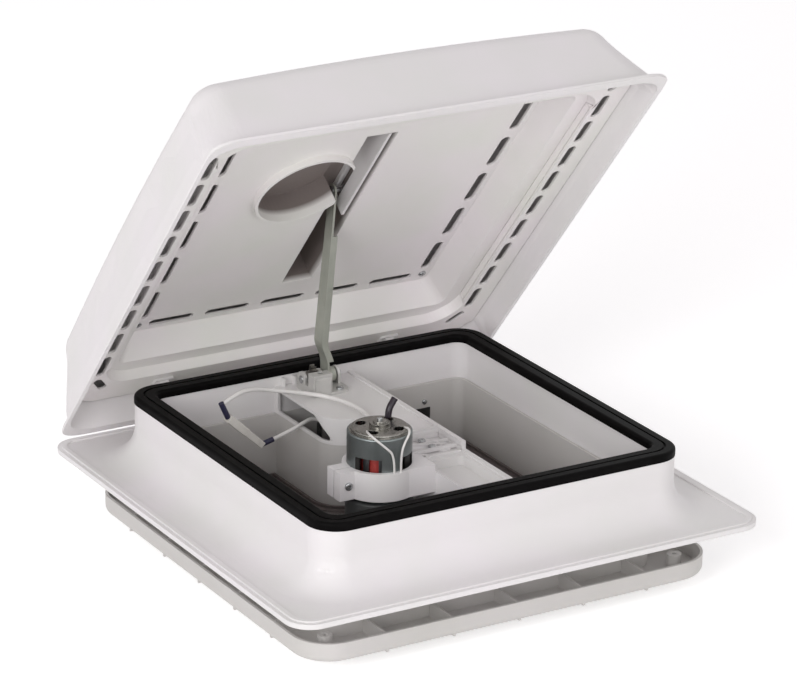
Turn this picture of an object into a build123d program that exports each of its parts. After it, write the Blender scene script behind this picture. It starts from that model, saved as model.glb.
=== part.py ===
from build123d import *
from math import cos, pi, radians, sin
import os

os.makedirs("parts", exist_ok=True)

# Caravan roof vent, lengths in millimetres.
# The origin is the centre of the roof opening, on the roof's outer face.
# X runs along the front, Y towards the hinge, Z up.

# Roof base
flange_half = 252.6
flange_thick = 5.0
flange_corner = 25.0
bead_inset = 4.0
bead_width = 6.0
bead_height = 1.5
bead_round = 0.7
upstand_half = 197.0
upstand_corner = 29.0
land_top = 61.5
land_thick = 7.0
opening_half = 177.4
opening_corner = 14.0
skin = 3.0
cove_radius = 32.0
cavity_foot_half = 207.0
cavity_neck = 36.0
rib_thick = 2.5
base_rib_pitch = 84.0
base_rib_reach = 15.0
edge_round = 1.2

# Rim seal
seal_outer = 197.5
seal_inner = 176.0
seal_top = 69.5
seal_corner_out = 29.5
seal_corner_in = 12.6
seal_round = 3.2
seal_groove_half = 187.2
seal_groove_width = 2.2
seal_groove_deep = 1.6
seal_foot_half = 187.0
seal_foot_width = 4.0
seal_foot_deep = 4.0
seal_foot_gap = 0.1

# Ceiling trim and its control column
trim_half = 221.4
trim_corner = 38.0
trim_bottom = -55.0
trim_top = -35.5
trim_round = 7.0
collar_half = 176.5
collar_inner = 173.5
collar_corner = 13.0
collar_top = 23.5
trim_rib_pitch = 70.8
trim_rib_drop = 2.0
boss_at = 191.0
boss_radius = 7.0
boss_hole = 2.5
boss_top = -38.0
locator_width = 24.0
locator_height = 6.0
column_left = -40.0
column_right = 48.0
column_front = 64.0
column_corner = 26.0
hook_width = 14.0
hook_reach = 2.4
hook_height = 1.6
hook_at = 110.0

# Insect screen
screen_gap = 0.5
screen_z = -43.0
screen_rim = 12.0
screen_thick = 2.0
rail_inset = 4.0
rail_width = 2.6
rail_height = 3.0
mesh_thick = 0.8

# Bridge across the opening
bridge_top = 50.5
bridge_wall = 3.0
beam_left = -15.0
beam_bottom = 5.0
edge_rail_width = 5.0
edge_rail_height = 2.0
tray_left = 0.0
tray_right = 39.0
tray_front = -150.0
tray_back = -50.0
tray_deep = 18.0
tray_round = 6.0
cross_rib_at = (-41.0, -22.0, 3.0)
cross_rib_height = 3.0
bridge_hole_at = ((22.0, -6.0), (30.0, -31.0), (2.0, -40.0))
bridge_hole_radius = 2.6
bridge_pad_radius = 6.5
bridge_pad_height = 3.0
arch_points = ((171.0, 26.5), (171.0, 47.5), (98.0, 47.5), (88.0, 43.5), (78.0, 35.0), (72.0, 26.5))
arch_cut = 9.0
gear_slot_front = 141.5
gear_slot_back = 160.0
wall_rib_at = (-32.1, -19.5)
wall_rib_thick = 2.4
wall_rib_reach = 6.0
wall_rib_head = 59.5

# Fan motor
motor_x = -57.0
motor_y = -57.0
can_radius = 31.0
can_wall = 1.6
can_bottom = 27.0
can_top = 90.0
can_round = 3.0
can_window_low = 50.0
can_window_high = 70.0
can_window_turn = -141.4
cap_top = 93.0
cap_radius = 29.0
cap_boss_radius = 10.0
cap_boss_top = 97.0
cap_ring_radius = 6.5
cap_ring_top = 99.0
cap_window_out = 24.0
cap_window_in = 14.5
shaft_radius = 2.5
shaft_top = 101.0
shaft_bottom = -37.0
running_gap = 0.05
magnet_thick = 5.0
can_window_angle = 51.0
magnet_half_angle = 17.0
magnet_low = 34.0
magnet_high = 80.0
rotor_radius = 21.0
rotor_low = 40.0
rotor_high = 72.0
rotor_slots = 8
rotor_slot_width = 3.0
rotor_slot_deep = 9.0
winding_radius = 19.0
winding_height = 7.0
commutator_radius = 7.0
commutator_low = 79.5
commutator_high = 88.0

# Motor saddle and clamp
clamp_low = 29.5
clamp_high = 57.5
clamp_thick = 4.5
ear_outer = 47.0
ear_depth = 12.0
ear_split = 1.0
clamp_end_y = -33.0
clamp_screw_z = 43.5
clamp_screw_radius = 2.0
clamp_head_radius = 4.0
clamp_head_high = 2.6
clamp_screw_length = 16.0

# Fan
hub_radius = 32.0
hub_wall = 2.5
hub_top = 25.0
hub_bottom = -30.0
fan_radius = 90.0
blade_count = 5
blade_root = 30.5
blade_z = -17.0
blade_chord_root = 36.0
blade_chord_tip = 50.0
blade_thick = 2.2
blade_pitch_root = 34.0
blade_pitch_tip = 20.0
fan_boss_radius = 8.0
nut_radius = 6.0
nut_high = 4.0

# Lid, in its own frame on the hinge line; depth runs from the rim plane up into the lid
lid_open = 49.9
hinge_y = 223.3
hinge_z = 27.0
rim_z = 34.5
lid_mid_y = -3.0
lid_wall_x = 236.0
lid_wall_y = 250.5
lid_corner = 28.0
lid_loft_depth = 110.0
lid_loft_x = 216.6
lid_loft_y = 220.7
lid_crown_radius = 3775.0
lid_crown = 100.0
lid_edge_round = 24.0
lid_skin = 3.0
lip_half_x = 243.0
lip_half_y = 257.5
lip_corner = 30.0
lip_thick = 3.0

# Lid liner
liner_thick = 2.5
liner_x = 227.5
liner_y = 239.0
liner_corner = 24.0
liner_rim_depth = 25.0
land_out = 203.0
land_depth = 35.3
land_step_out = 206.0
land_corner = 36.0
land_in = 187.0
step_inner_corner = 9.0
panel_half = 172.0
panel_depth = 60.0
slot_square = 161.0
slot_pitch = 62.7
slot_length = 49.0
slot_width = 10.0
slot_per_side = 5
outer_slot_at = 215.0
outer_slot_pitch = 43.1
outer_slot_length = 36.0
outer_slot_width = 9.0
outer_slot_first = -217.6
outer_slot_count = 10
corner_slot_x = 206.0
corner_slot_y = 206.5
corner_slot_length = 26.0
liner_screw_x = 163.0
liner_screw_y = 163.0
liner_screw_radius = 2.2
liner_head_radius = 4.0
liner_head_high = 2.2
liner_boss_radius = 6.0
liner_screw_length = 16.0
recess_x = -55.0
recess_v = -54.5
recess_radius = 49.5
recess_depth = 84.0
recess_lip_drop = 7.0
recess_lip_width = 3.0
channel_left = -13.0
channel_right = 21.0
channel_front = -127.5
channel_back = 130.5
channel_depth = 91.0
channel_rib_at = (-100.0, 40.0, 66.0)
channel_rib_thick = 2.0
channel_rib_drop = 20.0

# Arm guide
guide_web_x = 12.0
guide_web_thick = 3.0
guide_flange_x = 20.0
guide_front = -125.5
guide_back = 14.0
guide_low = 71.0
guide_flange_thick = 2.5
guide_slot_front = -40.0
guide_slot_back = 9.0
guide_slot_low = 76.2
guide_slot_high = 86.4
guide_screw_at = (-110.0, -70.0)
guide_screw_radius = 1.5
guide_head_radius = 2.8
guide_head_high = 1.8

# Hinge
lug_x = 130.0
lug_thick = 10.0
lug_radius = 7.0
lug_pad = 18.0
ear_thick = 5.0
ear_gap = 0.5
hinge_ear_radius = 7.0
pin_radius = 2.5
pin_gap = 0.06
pin_head_radius = 4.0
pin_head_thick = 1.5

# Lift arm and winding gear
pivot_y = 156.0
pivot_z = 62.0
arm_length = 197.0
arm_lean = 86.2
arm_x = 4.0
arm_thick = 2.0
arm_flange = 7.0
arm_foot_half = 8.0
arm_tip_half = 6.5
arm_bend_along = 32.0
arm_bend_rise = 2.6
arm_flange_start = 16.0
arm_flange_end = 150.0
arm_hub_radius = 7.5
arm_hub_right = 14.0
arm_pin_radius = 3.0
arm_pin_head_radius = 4.2
arm_pin_right = 18.4
arm_pin_head = 2.0
arm_pin_left = 2.6
shaft_pivot_radius = 4.0
shaft_pivot_left = -23.0
shaft_pivot_right = 21.5
gear_x = -11.0
gear_thick = 5.0
gear_module = 1.25
gear_teeth = 22
gear_from = 92.0
gear_to = 203.0
gear_margin = 4.0
tooth_share = 0.33
gear_tip_rise = 0.9
gear_root_drop = 1.2
worm_pitch_radius = 4.5
worm_start_share = 1.75
worm_turns = 3.25
crank_shaft_radius = 2.8
strap_front = 130.5
strap_back = 141.8
strap_low = 70.0
strap_high = 73.0
worm_journal_top = 72.5
housing_left = -22.0
housing_right = 20.5
housing_front = 129.0
housing_back = 172.0
housing_plate = 3.0
housing_corner = 10.0
cheek_thick = 3.0
cheek_radius = 8.0
cheek_mid_x = -4.0
cheek_right_x = 15.5
housing_screw_at = ((-12.0, 166.5), (8.0, 167.5), (10.0, 135.0))
housing_screw_radius = 1.8
housing_head_radius = 3.6
housing_head_high = 2.0
housing_screw_length = 9.0
column_bush_radius = 7.0
column_bush_top = -40.0
knob_radius = 21.0
knob_top = -57.0
knob_bottom = -72.0
knob_grips = 8
knob_grip_radius = 5.5
knob_grip_at = 24.0
knob_round = 2.5
knob_dish = 12.0
knob_dish_deep = 4.0

# Fan switch in the column's floor
switch_x = 8.0
switch_y = 92.0
switch_w = 19.0
switch_h = 13.0
switch_lip = 2.0
switch_lip_thick = 1.5
switch_deep = 16.0
switch_wall = 1.5
rocker_gap = 0.6
rocker_pivot = -53.0
rocker_radius = 6.0
rocker_drop = 3.0
rocker_pin_radius = 1.2

# Port on the rear wall
port_left = 100.0
port_right = 138.0
port_low = -18.0
port_high = -2.5
port_thick = 1.2
port_screw_x = 131.6
port_screw_z = 4.0
port_screw_radius = 2.8
port_screw_high = 1.4

# Wiring
cable_diameter = 4.4
cable_points = (
    (-12.0, 24.0, 54.2),
    (-3.0, 50.0, 54.4),
    (-1.5, 90.0, 55.0),
    (-19.0, 123.0, 56.5),
    (-66.0, 137.0, 65.0),
    (-93.6, 130.0, 73.7),
    (-113.0, 125.0, 72.7),
    (-130.0, 120.0, 67.2),
)
crimp_diameter = 5.6
crimp_start = (-131.0, 120.0, 69.2)
crimp_end = (-123.4, 120.0, 52.5)
connector_start = (-123.4, 120.0, 52.5)
connector_mid = (-104.95, 120.0, 35.0)
connector_end = (-86.5, 120.0, 17.5)
connector_width = 12.0
connector_depth = 9.0
connector_plug_width = 14.5
connector_plug_depth = 11.0
sleeve_diameter = 5.4
sleeve_start = (-86.5, 120.0, 17.5)
sleeve_end = (-73.5, 120.0, 20.8)
tail_diameter = 4.0
tail_points = (
    (-74.5, 120.0, 20.5),
    (-57.0, 120.0, 25.0),
    (-38.0, 121.0, 31.5),
    (-26.0, 124.0, 33.5),
    (-10.0, 118.0, 24.0),
    (0.0, 108.0, 4.0),
    (7.0, 95.0, -16.0),
    (8.0, 92.0, -40.0),
)
lead_diameter = 2.2
lead_left_points = (
    (-74.0, -62.0, 92.0),
    (-79.5, -73.5, 95.4),
    (-78.0, -84.6, 92.5),
    (-68.5, -88.9, 83.5),
    (-60.2, -90.4, 75.0),
    (-60.2, -90.4, 57.5),
)
lead_right_points = (
    (-38.0, -70.0, 92.0),
    (-38.5, -80.0, 95.4),
    (-42.5, -87.4, 92.0),
    (-49.5, -90.2, 85.0),
    (-53.2, -90.6, 75.0),
    (-53.2, -90.6, 57.5),
)
shrink_diameter = 6.5
shrink_points = ((-38.0, -40.0, 92.0), (-36.5, -39.5, 101.0), (-29.5, -38.0, 109.0))

# Lines and planes worked out from the sizes above
screw_x = motor_x - can_radius - (ear_outer - can_radius) / 2 - clamp_thick / 4
gear_pitch_radius = gear_module * gear_teeth / 2
worm_y = pivot_y - gear_pitch_radius - worm_pitch_radius
worm_lead = pi * gear_module
open_angle = radians(lid_open)
lid_plane = Plane(origin=(0, hinge_y, hinge_z), x_dir=(1, 0, 0), z_dir=(0, sin(open_angle), cos(open_angle)))
lid_y = lid_mid_y - hinge_y
lid_z = rim_z - hinge_z
arm_dir = (0, -cos(radians(arm_lean)), sin(radians(arm_lean)))


tube_share = 0.45


def square_prism(base, half, corner, height, mode=Mode.ADD):
    """A rounded square block about the middle of the opening."""
    with BuildSketch(Plane.XY.offset(base)) as outline:
        RectangleRounded(2 * half, 2 * half, corner)
    extrude(outline.sketch, amount=height, mode=mode)


def square_ring(base, outer, outer_corner, inner, inner_corner, height, mode=Mode.ADD):
    """A rounded square frame about the middle of the opening."""
    with BuildSketch(Plane.XY.offset(base)) as outline:
        RectangleRounded(2 * outer, 2 * outer, outer_corner)
        RectangleRounded(2 * inner, 2 * inner, inner_corner, mode=Mode.SUBTRACT)
    extrude(outline.sketch, amount=height, mode=mode)


def block(x0, x1, y0, y1, z0, z1, mode=Mode.ADD):
    """A box between two corners."""
    with Locations(((x0 + x1) / 2, (y0 + y1) / 2, (z0 + z1) / 2)):
        Box(abs(x1 - x0), abs(y1 - y0), abs(z1 - z0), mode=mode)


def rod(x, y, z0, z1, radius, mode=Mode.ADD):
    """An upright cylinder between two heights."""
    with Locations((x, y, (z0 + z1) / 2)):
        Cylinder(radius, abs(z1 - z0), mode=mode)


def cross_rod(x0, x1, y, z, radius, mode=Mode.ADD):
    """A cylinder along X between two stations."""
    with Locations(Location(((x0 + x1) / 2, y, z), (0, 90, 0))):
        Cylinder(radius, abs(x1 - x0), mode=mode)


def lid_at(depth):
    """The lid's own level at one depth above its rim plane."""
    return lid_plane.offset(lid_z + depth)


def lid_rectangle(depth, half_x, half_y, corner, height, mode=Mode.ADD):
    """A rounded block in the lid, centred on the lid."""
    with BuildSketch(lid_at(depth)) as outline:
        with Locations((0, lid_y)):
            RectangleRounded(2 * half_x, 2 * half_y, corner)
    extrude(outline.sketch, amount=height, mode=mode)


def lid_box(x0, x1, v0, v1, depth0, depth1, mode=Mode.ADD):
    """A box in the lid; v is measured from the lid's middle towards the hinge."""
    with BuildSketch(lid_at(depth0)) as outline:
        with Locations(((x0 + x1) / 2, lid_y + (v0 + v1) / 2)):
            Rectangle(abs(x1 - x0), abs(v1 - v0))
    extrude(outline.sketch, amount=depth1 - depth0, mode=mode)


def lid_rod(x, v, depth0, depth1, radius, mode=Mode.ADD):
    """A cylinder square to the lid's rim plane."""
    with BuildSketch(lid_at(depth0)) as outline:
        with Locations((x, lid_y + v)):
            Circle(radius)
    extrude(outline.sketch, amount=depth1 - depth0, mode=mode)


def lid_frustum(depth0, half_x0, half_y0, corner0, depth1, half_x1, half_y1, corner1, mode=Mode.ADD):
    """A rounded block in the lid that tapers from one depth to another."""
    with BuildSketch(lid_at(depth0)) as low:
        with Locations((0, lid_y)):
            RectangleRounded(2 * half_x0, 2 * half_y0, corner0)
    with BuildSketch(lid_at(depth1)) as high:
        with Locations((0, lid_y)):
            RectangleRounded(2 * half_x1, 2 * half_y1, corner1)
    loft([low.sketch.faces()[0], high.sketch.faces()[0]], mode=mode)


def bent_tube(points, diameter):
    """A round cord along straight runs joined by tangent arcs; gives the solid and its radii."""
    radii = []
    for before, here, after in zip(points, points[1:], points[2:]):
        first = Vector(here) - Vector(before)
        second = Vector(after) - Vector(here)
        turn = radians(first.get_angle(second))
        radii.append(tube_share * min(first.length, second.length) / (sin(turn / 2) / cos(turn / 2)))
    with BuildPart() as tube:
        with BuildLine() as route:
            FilletPolyline(*points, radius=radii)
        start = Plane(origin=points[0], z_dir=Vector(points[1]) - Vector(points[0]))
        with BuildSketch(start):
            Circle(diameter / 2)
        sweep(path=route.wires()[0])
    return tube.part, radii, route.wires()[0].length


def straight_tube(first, last, diameter):
    """A straight round sleeve between two points."""
    along = Vector(last) - Vector(first)
    with BuildPart() as tube:
        with BuildSketch(Plane(origin=first, z_dir=along)):
            Circle(diameter / 2)
        extrude(amount=along.length)
    return tube.part


# The flange lies on the roof and the upstand rises from it through a wide cove.
with BuildPart() as roof_base:
    square_prism(0, flange_half, flange_corner, flange_thick)
    square_prism(flange_thick, upstand_half, upstand_corner, land_top - flange_thick)
    cove = [
        edge
        for edge in roof_base.edges()
        if abs(edge.center().Z - flange_thick) < edge_round
        and max(abs(edge.center().X), abs(edge.center().Y)) < upstand_half + edge_round
    ]
    cove_room = flange_half - bead_inset - bead_width - bead_round - upstand_half
    fillet(cove, min(cove_radius, cove_room))
    square_ring(
        flange_thick,
        flange_half - bead_inset,
        flange_corner - bead_inset,
        flange_half - bead_inset - bead_width,
        flange_corner - bead_inset - bead_width,
        bead_height,
    )
    bead = roof_base.faces().sort_by(Axis.Z).filter_by(
        lambda face: abs(face.center().Z - flange_thick - bead_height) < bead_round / 10
    )
    fillet(bead.edges(), bead_round)
    # Hollow side of the upstand, open towards the roof
    with BuildSketch(Plane.XY) as foot:
        RectangleRounded(2 * cavity_foot_half, 2 * cavity_foot_half, upstand_corner)
    with BuildSketch(Plane.XY.offset(cavity_neck)) as neck:
        RectangleRounded(2 * (upstand_half - skin), 2 * (upstand_half - skin), upstand_corner - skin)
    loft([foot.sketch.faces()[0], neck.sketch.faces()[0]], mode=Mode.SUBTRACT)
    square_prism(
        cavity_neck,
        upstand_half - skin,
        upstand_corner - skin,
        land_top - land_thick - cavity_neck,
        Mode.SUBTRACT,
    )
    square_prism(0, opening_half + skin, opening_corner + skin, land_top)
    rib_count = int(upstand_half / base_rib_pitch)
    for step in range(-rib_count, rib_count + 1):
        for turn in range(4):
            with Locations(
                Rotation(0, 0, 90 * turn) * Location((step * base_rib_pitch, opening_half + skin, 0)),
            ):
                Box(
                    rib_thick,
                    base_rib_reach,
                    land_top - land_thick,
                    align=(Align.CENTER, Align.MIN, Align.MIN),
                )
    square_prism(0, opening_half, opening_corner, land_top, Mode.SUBTRACT)
    square_ring(
        land_top - seal_foot_deep,
        seal_foot_half + seal_foot_width / 2 + seal_foot_gap,
        upstand_corner - upstand_half + seal_foot_half + seal_foot_width / 2,
        seal_foot_half - seal_foot_width / 2 - seal_foot_gap,
        upstand_corner - upstand_half + seal_foot_half - seal_foot_width / 2,
        seal_foot_deep,
        Mode.SUBTRACT,
    )
    # Hinge forks behind the upstand
    for side in (-1, 1):
        for hand in (-1, 1):
            ear_mid = side * lug_x + hand * (lug_thick / 2 + ear_gap + ear_thick / 2)
            block(
                ear_mid - ear_thick / 2,
                ear_mid + ear_thick / 2,
                hinge_y - hinge_ear_radius,
                hinge_y + hinge_ear_radius,
                flange_thick / 2,
                hinge_z,
            )
            cross_rod(ear_mid - ear_thick / 2, ear_mid + ear_thick / 2, hinge_y, hinge_z, hinge_ear_radius)
        cross_rod(
            side * lug_x - lug_thick / 2 - ear_gap - ear_thick,
            side * lug_x + lug_thick / 2 + ear_gap + ear_thick,
            hinge_y,
            hinge_z,
            pin_radius,
            Mode.SUBTRACT,
        )
roof_base.part.label = "roof_base"
export_step(roof_base.part, "parts/roof_base.step")

# Seal with two bulbs and a foot that sits in the land's groove.
with BuildPart() as rim_seal:
    square_ring(land_top, seal_outer, seal_corner_out, seal_inner, seal_corner_in, seal_top - land_top)
    crest = rim_seal.faces().sort_by(Axis.Z)[-1]
    fillet(crest.edges(), seal_round)
    square_ring(
        seal_top - seal_groove_deep,
        seal_groove_half + seal_groove_width / 2,
        upstand_corner - upstand_half + seal_groove_half + seal_groove_width / 2,
        seal_groove_half - seal_groove_width / 2,
        upstand_corner - upstand_half + seal_groove_half - seal_groove_width / 2,
        seal_groove_deep,
        Mode.SUBTRACT,
    )
    square_ring(
        land_top - seal_foot_deep + seal_foot_gap,
        seal_foot_half + seal_foot_width / 2,
        upstand_corner - upstand_half + seal_foot_half + seal_foot_width / 2,
        seal_foot_half - seal_foot_width / 2,
        upstand_corner - upstand_half + seal_foot_half - seal_foot_width / 2,
        seal_foot_deep - seal_foot_gap,
    )
rim_seal.part.label = "rim_seal"
export_step(rim_seal.part, "parts/rim_seal.step")


def column_outline(grow, back):
    """The control column's plan, grown outwards by a wall or a gap."""
    width = column_right - column_left + 2 * grow
    length = back - column_front + grow + column_corner
    with Locations(((column_left + column_right) / 2, (column_front - grow + back + column_corner) / 2)):
        RectangleRounded(width, length, column_corner + grow)
    with Locations(((column_left + column_right) / 2, (column_front + back) / 2 + column_corner)):
        Rectangle(width, back - column_front)


# The trim's tray and collar, with the column that holds the crank and the switch.
with BuildPart() as ceiling_trim:
    square_prism(trim_bottom, trim_half, trim_corner, trim_top - trim_bottom)
    sole = ceiling_trim.faces().sort_by(Axis.Z)[0]
    fillet(sole.edges(), trim_round)
    square_prism(trim_top, collar_half, collar_corner, collar_top - trim_top)
    square_ring(
        trim_bottom + skin,
        trim_half - skin,
        trim_corner - skin,
        collar_half,
        collar_corner,
        trim_top - trim_bottom - skin,
        Mode.SUBTRACT,
    )
    # Cross ribs in the tray
    trim_rib_count = int(collar_half / trim_rib_pitch)
    for step in range(-trim_rib_count, trim_rib_count + 1):
        for turn in range(4):
            with Locations(
                Rotation(0, 0, 90 * turn)
                * Location((step * trim_rib_pitch, collar_half - skin / 2, trim_bottom))
            ):
                Box(
                    rib_thick,
                    trim_half - collar_half,
                    trim_top - trim_rib_drop - trim_bottom,
                    align=(Align.CENTER, Align.MIN, Align.MIN),
                )
    for x in (-boss_at, boss_at):
        for y in (-boss_at, boss_at):
            rod(x, y, trim_bottom + skin / 2, boss_top, boss_radius)
            rod(x, y, trim_bottom, boss_top, boss_hole, Mode.SUBTRACT)
    # Locating pads that slide in the base's opening
    for turn in range(4):
        for hand in (-1, 1):
            with Locations(
                Rotation(0, 0, 90 * turn)
                * Location((hand * trim_rib_pitch, collar_half - skin / 2, collar_top - locator_height))
            ):
                Box(
                    locator_width,
                    opening_half - collar_half + skin / 2,
                    locator_height,
                    align=(Align.CENTER, Align.MIN, Align.MAX),
                )
    with BuildSketch(Plane.XY.offset(trim_bottom)) as well:
        RectangleRounded(2 * collar_inner, 2 * collar_inner, collar_corner - skin)
        with BuildSketch(mode=Mode.PRIVATE) as column_plan:
            column_outline(0, collar_inner)
        add(column_plan.sketch, mode=Mode.SUBTRACT)
    extrude(well.sketch, amount=collar_top - trim_bottom, mode=Mode.SUBTRACT)
    with BuildSketch(Plane.XY.offset(trim_bottom + skin)) as hollow:
        with BuildSketch(mode=Mode.PRIVATE) as inner_plan:
            column_outline(-skin, collar_inner)
        add(inner_plan.sketch)
        with Locations((0, 0)):
            Rectangle(2 * collar_inner, 2 * collar_inner, mode=Mode.INTERSECT)
    extrude(hollow.sketch, amount=collar_top - trim_bottom - skin, mode=Mode.SUBTRACT)
    # Hooks under the insect screen
    for turn in range(4):
        for hand in (-1, 1):
            with Locations(
                Rotation(0, 0, 90 * turn) * Location((hand * hook_at, collar_inner + skin / 2, screen_z))
            ):
                Box(
                    hook_width,
                    hook_reach + skin / 2,
                    hook_height,
                    align=(Align.CENTER, Align.MAX, Align.MAX),
                )
    # Crank bush and switch opening in the column's floor
    rod(gear_x, worm_y, trim_bottom + skin / 2, column_bush_top, column_bush_radius)
    rod(gear_x, worm_y, trim_bottom, column_bush_top, crank_shaft_radius + running_gap, Mode.SUBTRACT)
    block(
        switch_x - switch_w / 2,
        switch_x + switch_w / 2,
        switch_y - switch_h / 2,
        switch_y + switch_h / 2,
        trim_bottom,
        trim_bottom + skin,
        Mode.SUBTRACT,
    )
ceiling_trim.part.label = "ceiling_trim"
export_step(ceiling_trim.part, "parts/ceiling_trim.step")


def screen_outline(inset):
    """The opening's plan round the column, drawn in by an inset."""
    RectangleRounded(
        2 * (collar_inner - inset),
        2 * (collar_inner - inset),
        collar_corner - skin,
    )
    with BuildSketch(mode=Mode.PRIVATE) as cut:
        column_outline(inset, collar_inner)
    add(cut.sketch, mode=Mode.SUBTRACT)


# Screen frame with the rail that follows the opening and the column's foot.
with BuildPart() as screen_frame:
    with BuildSketch(Plane.XY.offset(screen_z)) as plate:
        screen_outline(screen_gap)
    extrude(plate.sketch, amount=screen_thick)
    with BuildSketch(Plane.XY.offset(screen_z)) as rail:
        screen_outline(rail_inset)
    extrude(rail.sketch, amount=screen_thick + rail_height)
    with BuildSketch(Plane.XY.offset(screen_z + screen_thick)) as inside:
        screen_outline(rail_inset + rail_width)
    extrude(inside.sketch, amount=rail_height, mode=Mode.SUBTRACT)
    with BuildSketch(Plane.XY.offset(screen_z)) as window:
        screen_outline(screen_rim)
    extrude(window.sketch, amount=screen_thick + rail_height, mode=Mode.SUBTRACT)
screen_frame.part.label = "screen_frame"
export_step(screen_frame.part, "parts/screen_frame.step")

with BuildPart() as screen_mesh:
    with BuildSketch(Plane.XY.offset(screen_z + (screen_thick - mesh_thick) / 2)) as net:
        screen_outline(screen_rim)
    extrude(net.sketch, amount=mesh_thick)
screen_mesh.part.label = "screen_mesh"
export_step(screen_mesh.part, "parts/screen_mesh.step")

# Bridge: a hollow block over the column, a beam to the front wall and the motor's saddle.
wall_face = opening_half
with BuildPart() as motor_bridge:
    with BuildSketch(Plane.XY.offset(collar_top)) as rear_plan:
        column_outline(0, wall_face)
        Rectangle(2 * wall_face, 2 * wall_face, mode=Mode.INTERSECT)
    extrude(rear_plan.sketch, amount=bridge_top - collar_top)
    with BuildSketch(Plane.XY.offset(collar_top)) as rear_hollow:
        column_outline(-bridge_wall, wall_face)
        Rectangle(2 * (wall_face - bridge_wall), 2 * (wall_face - bridge_wall), mode=Mode.INTERSECT)
    extrude(rear_hollow.sketch, amount=bridge_top - collar_top - bridge_wall, mode=Mode.SUBTRACT)
    block(beam_left, column_right, -wall_face, column_front + column_corner, beam_bottom, bridge_top)
    block(
        beam_left,
        column_right,
        column_front - screen_gap,
        column_front + column_corner,
        beam_bottom,
        collar_top,
        Mode.SUBTRACT,
    )
    block(
        beam_left,
        column_right,
        -wall_face,
        screen_gap - collar_inner,
        beam_bottom,
        collar_top,
        Mode.SUBTRACT,
    )
    block(
        beam_left + bridge_wall,
        column_right - bridge_wall,
        tray_back + 2 * bridge_wall,
        column_front + bridge_wall,
        beam_bottom,
        bridge_top - bridge_wall,
        Mode.SUBTRACT,
    )
    block(
        beam_left + bridge_wall,
        column_right - bridge_wall,
        column_front,
        column_front + column_corner + bridge_wall,
        collar_top,
        bridge_top - bridge_wall,
        Mode.SUBTRACT,
    )
    block(
        beam_left + bridge_wall,
        column_right - bridge_wall,
        -collar_inner + bridge_wall + screen_gap,
        tray_back + bridge_wall,
        beam_bottom,
        bridge_top - tray_deep - bridge_wall,
        Mode.SUBTRACT,
    )
    # Tray at the front end
    with BuildSketch(Plane.XY.offset(bridge_top - tray_deep)) as tray:
        with Locations(((tray_left + tray_right) / 2, (tray_front + tray_back) / 2)):
            RectangleRounded(tray_right - tray_left, tray_back - tray_front, tray_round)
    extrude(tray.sketch, amount=tray_deep, mode=Mode.SUBTRACT)
    # Raised rail along the right edge, cross ribs and screw pads
    block(
        column_right - edge_rail_width,
        column_right,
        -wall_face,
        wall_face,
        bridge_top - bridge_wall / 2,
        bridge_top + edge_rail_height,
    )
    for y in cross_rib_at:
        block(
            beam_left,
            column_right - bridge_wall / 2,
            y - rib_thick / 2,
            y + rib_thick / 2,
            bridge_top - bridge_wall / 2,
            bridge_top + cross_rib_height,
        )
    for x, y in bridge_hole_at:
        rod(x, y, bridge_top - bridge_wall / 2, bridge_top + bridge_pad_height, bridge_pad_radius)
        rod(
            x,
            y,
            bridge_top - bridge_wall - rib_thick,
            bridge_top + bridge_pad_height,
            bridge_hole_radius,
            Mode.SUBTRACT,
        )
    # Small ribs that stand against the rear wall
    for x in wall_rib_at:
        block(
            x - wall_rib_thick / 2,
            x + wall_rib_thick / 2,
            wall_face - wall_rib_reach,
            wall_face,
            bridge_top - bridge_wall / 2,
            wall_rib_head,
        )
    # Saddle round the rear half of the motor
    with BuildSketch(Plane.XY.offset(clamp_low)) as saddle:
        with Locations((motor_x, motor_y)):
            Circle(can_radius + clamp_thick)
            with Locations((-(can_radius + ear_outer) / 2, ear_depth / 2)):
                Rectangle(ear_outer - can_radius + clamp_thick, ear_depth)
        with Locations(((motor_x + can_radius + beam_left) / 2, motor_y + can_radius / 2)):
            Rectangle(beam_left - motor_x - can_radius + 2 * clamp_thick, can_radius)
        with Locations((motor_x, motor_y + ear_split)):
            Rectangle(
                2 * (ear_outer + fan_radius),
                2 * ear_outer,
                align=(Align.CENTER, Align.MIN),
                mode=Mode.INTERSECT,
            )
        with Locations((motor_x, motor_y)):
            Circle(can_radius, mode=Mode.SUBTRACT)
    extrude(saddle.sketch, amount=clamp_high - clamp_low)
    with Locations(Location((screw_x, motor_y, clamp_screw_z), (90, 0, 0))):
        Cylinder(clamp_screw_radius, 2 * clamp_screw_length, mode=Mode.SUBTRACT)
    # Window in the left wall for the wires
    with BuildSketch(Plane.YZ.offset(column_left - rib_thick)) as arch:
        with BuildLine():
            Polyline(*arch_points, close=True)
        make_face()
    extrude(arch.sketch, amount=arch_cut, mode=Mode.SUBTRACT)
    # Slot for the gear and hole for the worm
    block(
        gear_x - gear_thick,
        gear_x + gear_thick,
        gear_slot_front,
        gear_slot_back,
        bridge_top - bridge_wall - rib_thick,
        bridge_top,
        Mode.SUBTRACT,
    )
    rod(
        gear_x,
        worm_y,
        bridge_top - bridge_wall - rib_thick,
        bridge_top,
        worm_pitch_radius + 2 * gear_module,
        Mode.SUBTRACT,
    )
    # Pilot holes for the screws that enter the bridge
    for x, y in housing_screw_at:
        rod(x, y, bridge_top - bridge_wall - rib_thick, bridge_top, housing_screw_radius, Mode.SUBTRACT)
motor_bridge.part.label = "motor_bridge"
export_step(motor_bridge.part, "parts/motor_bridge.step")

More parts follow.
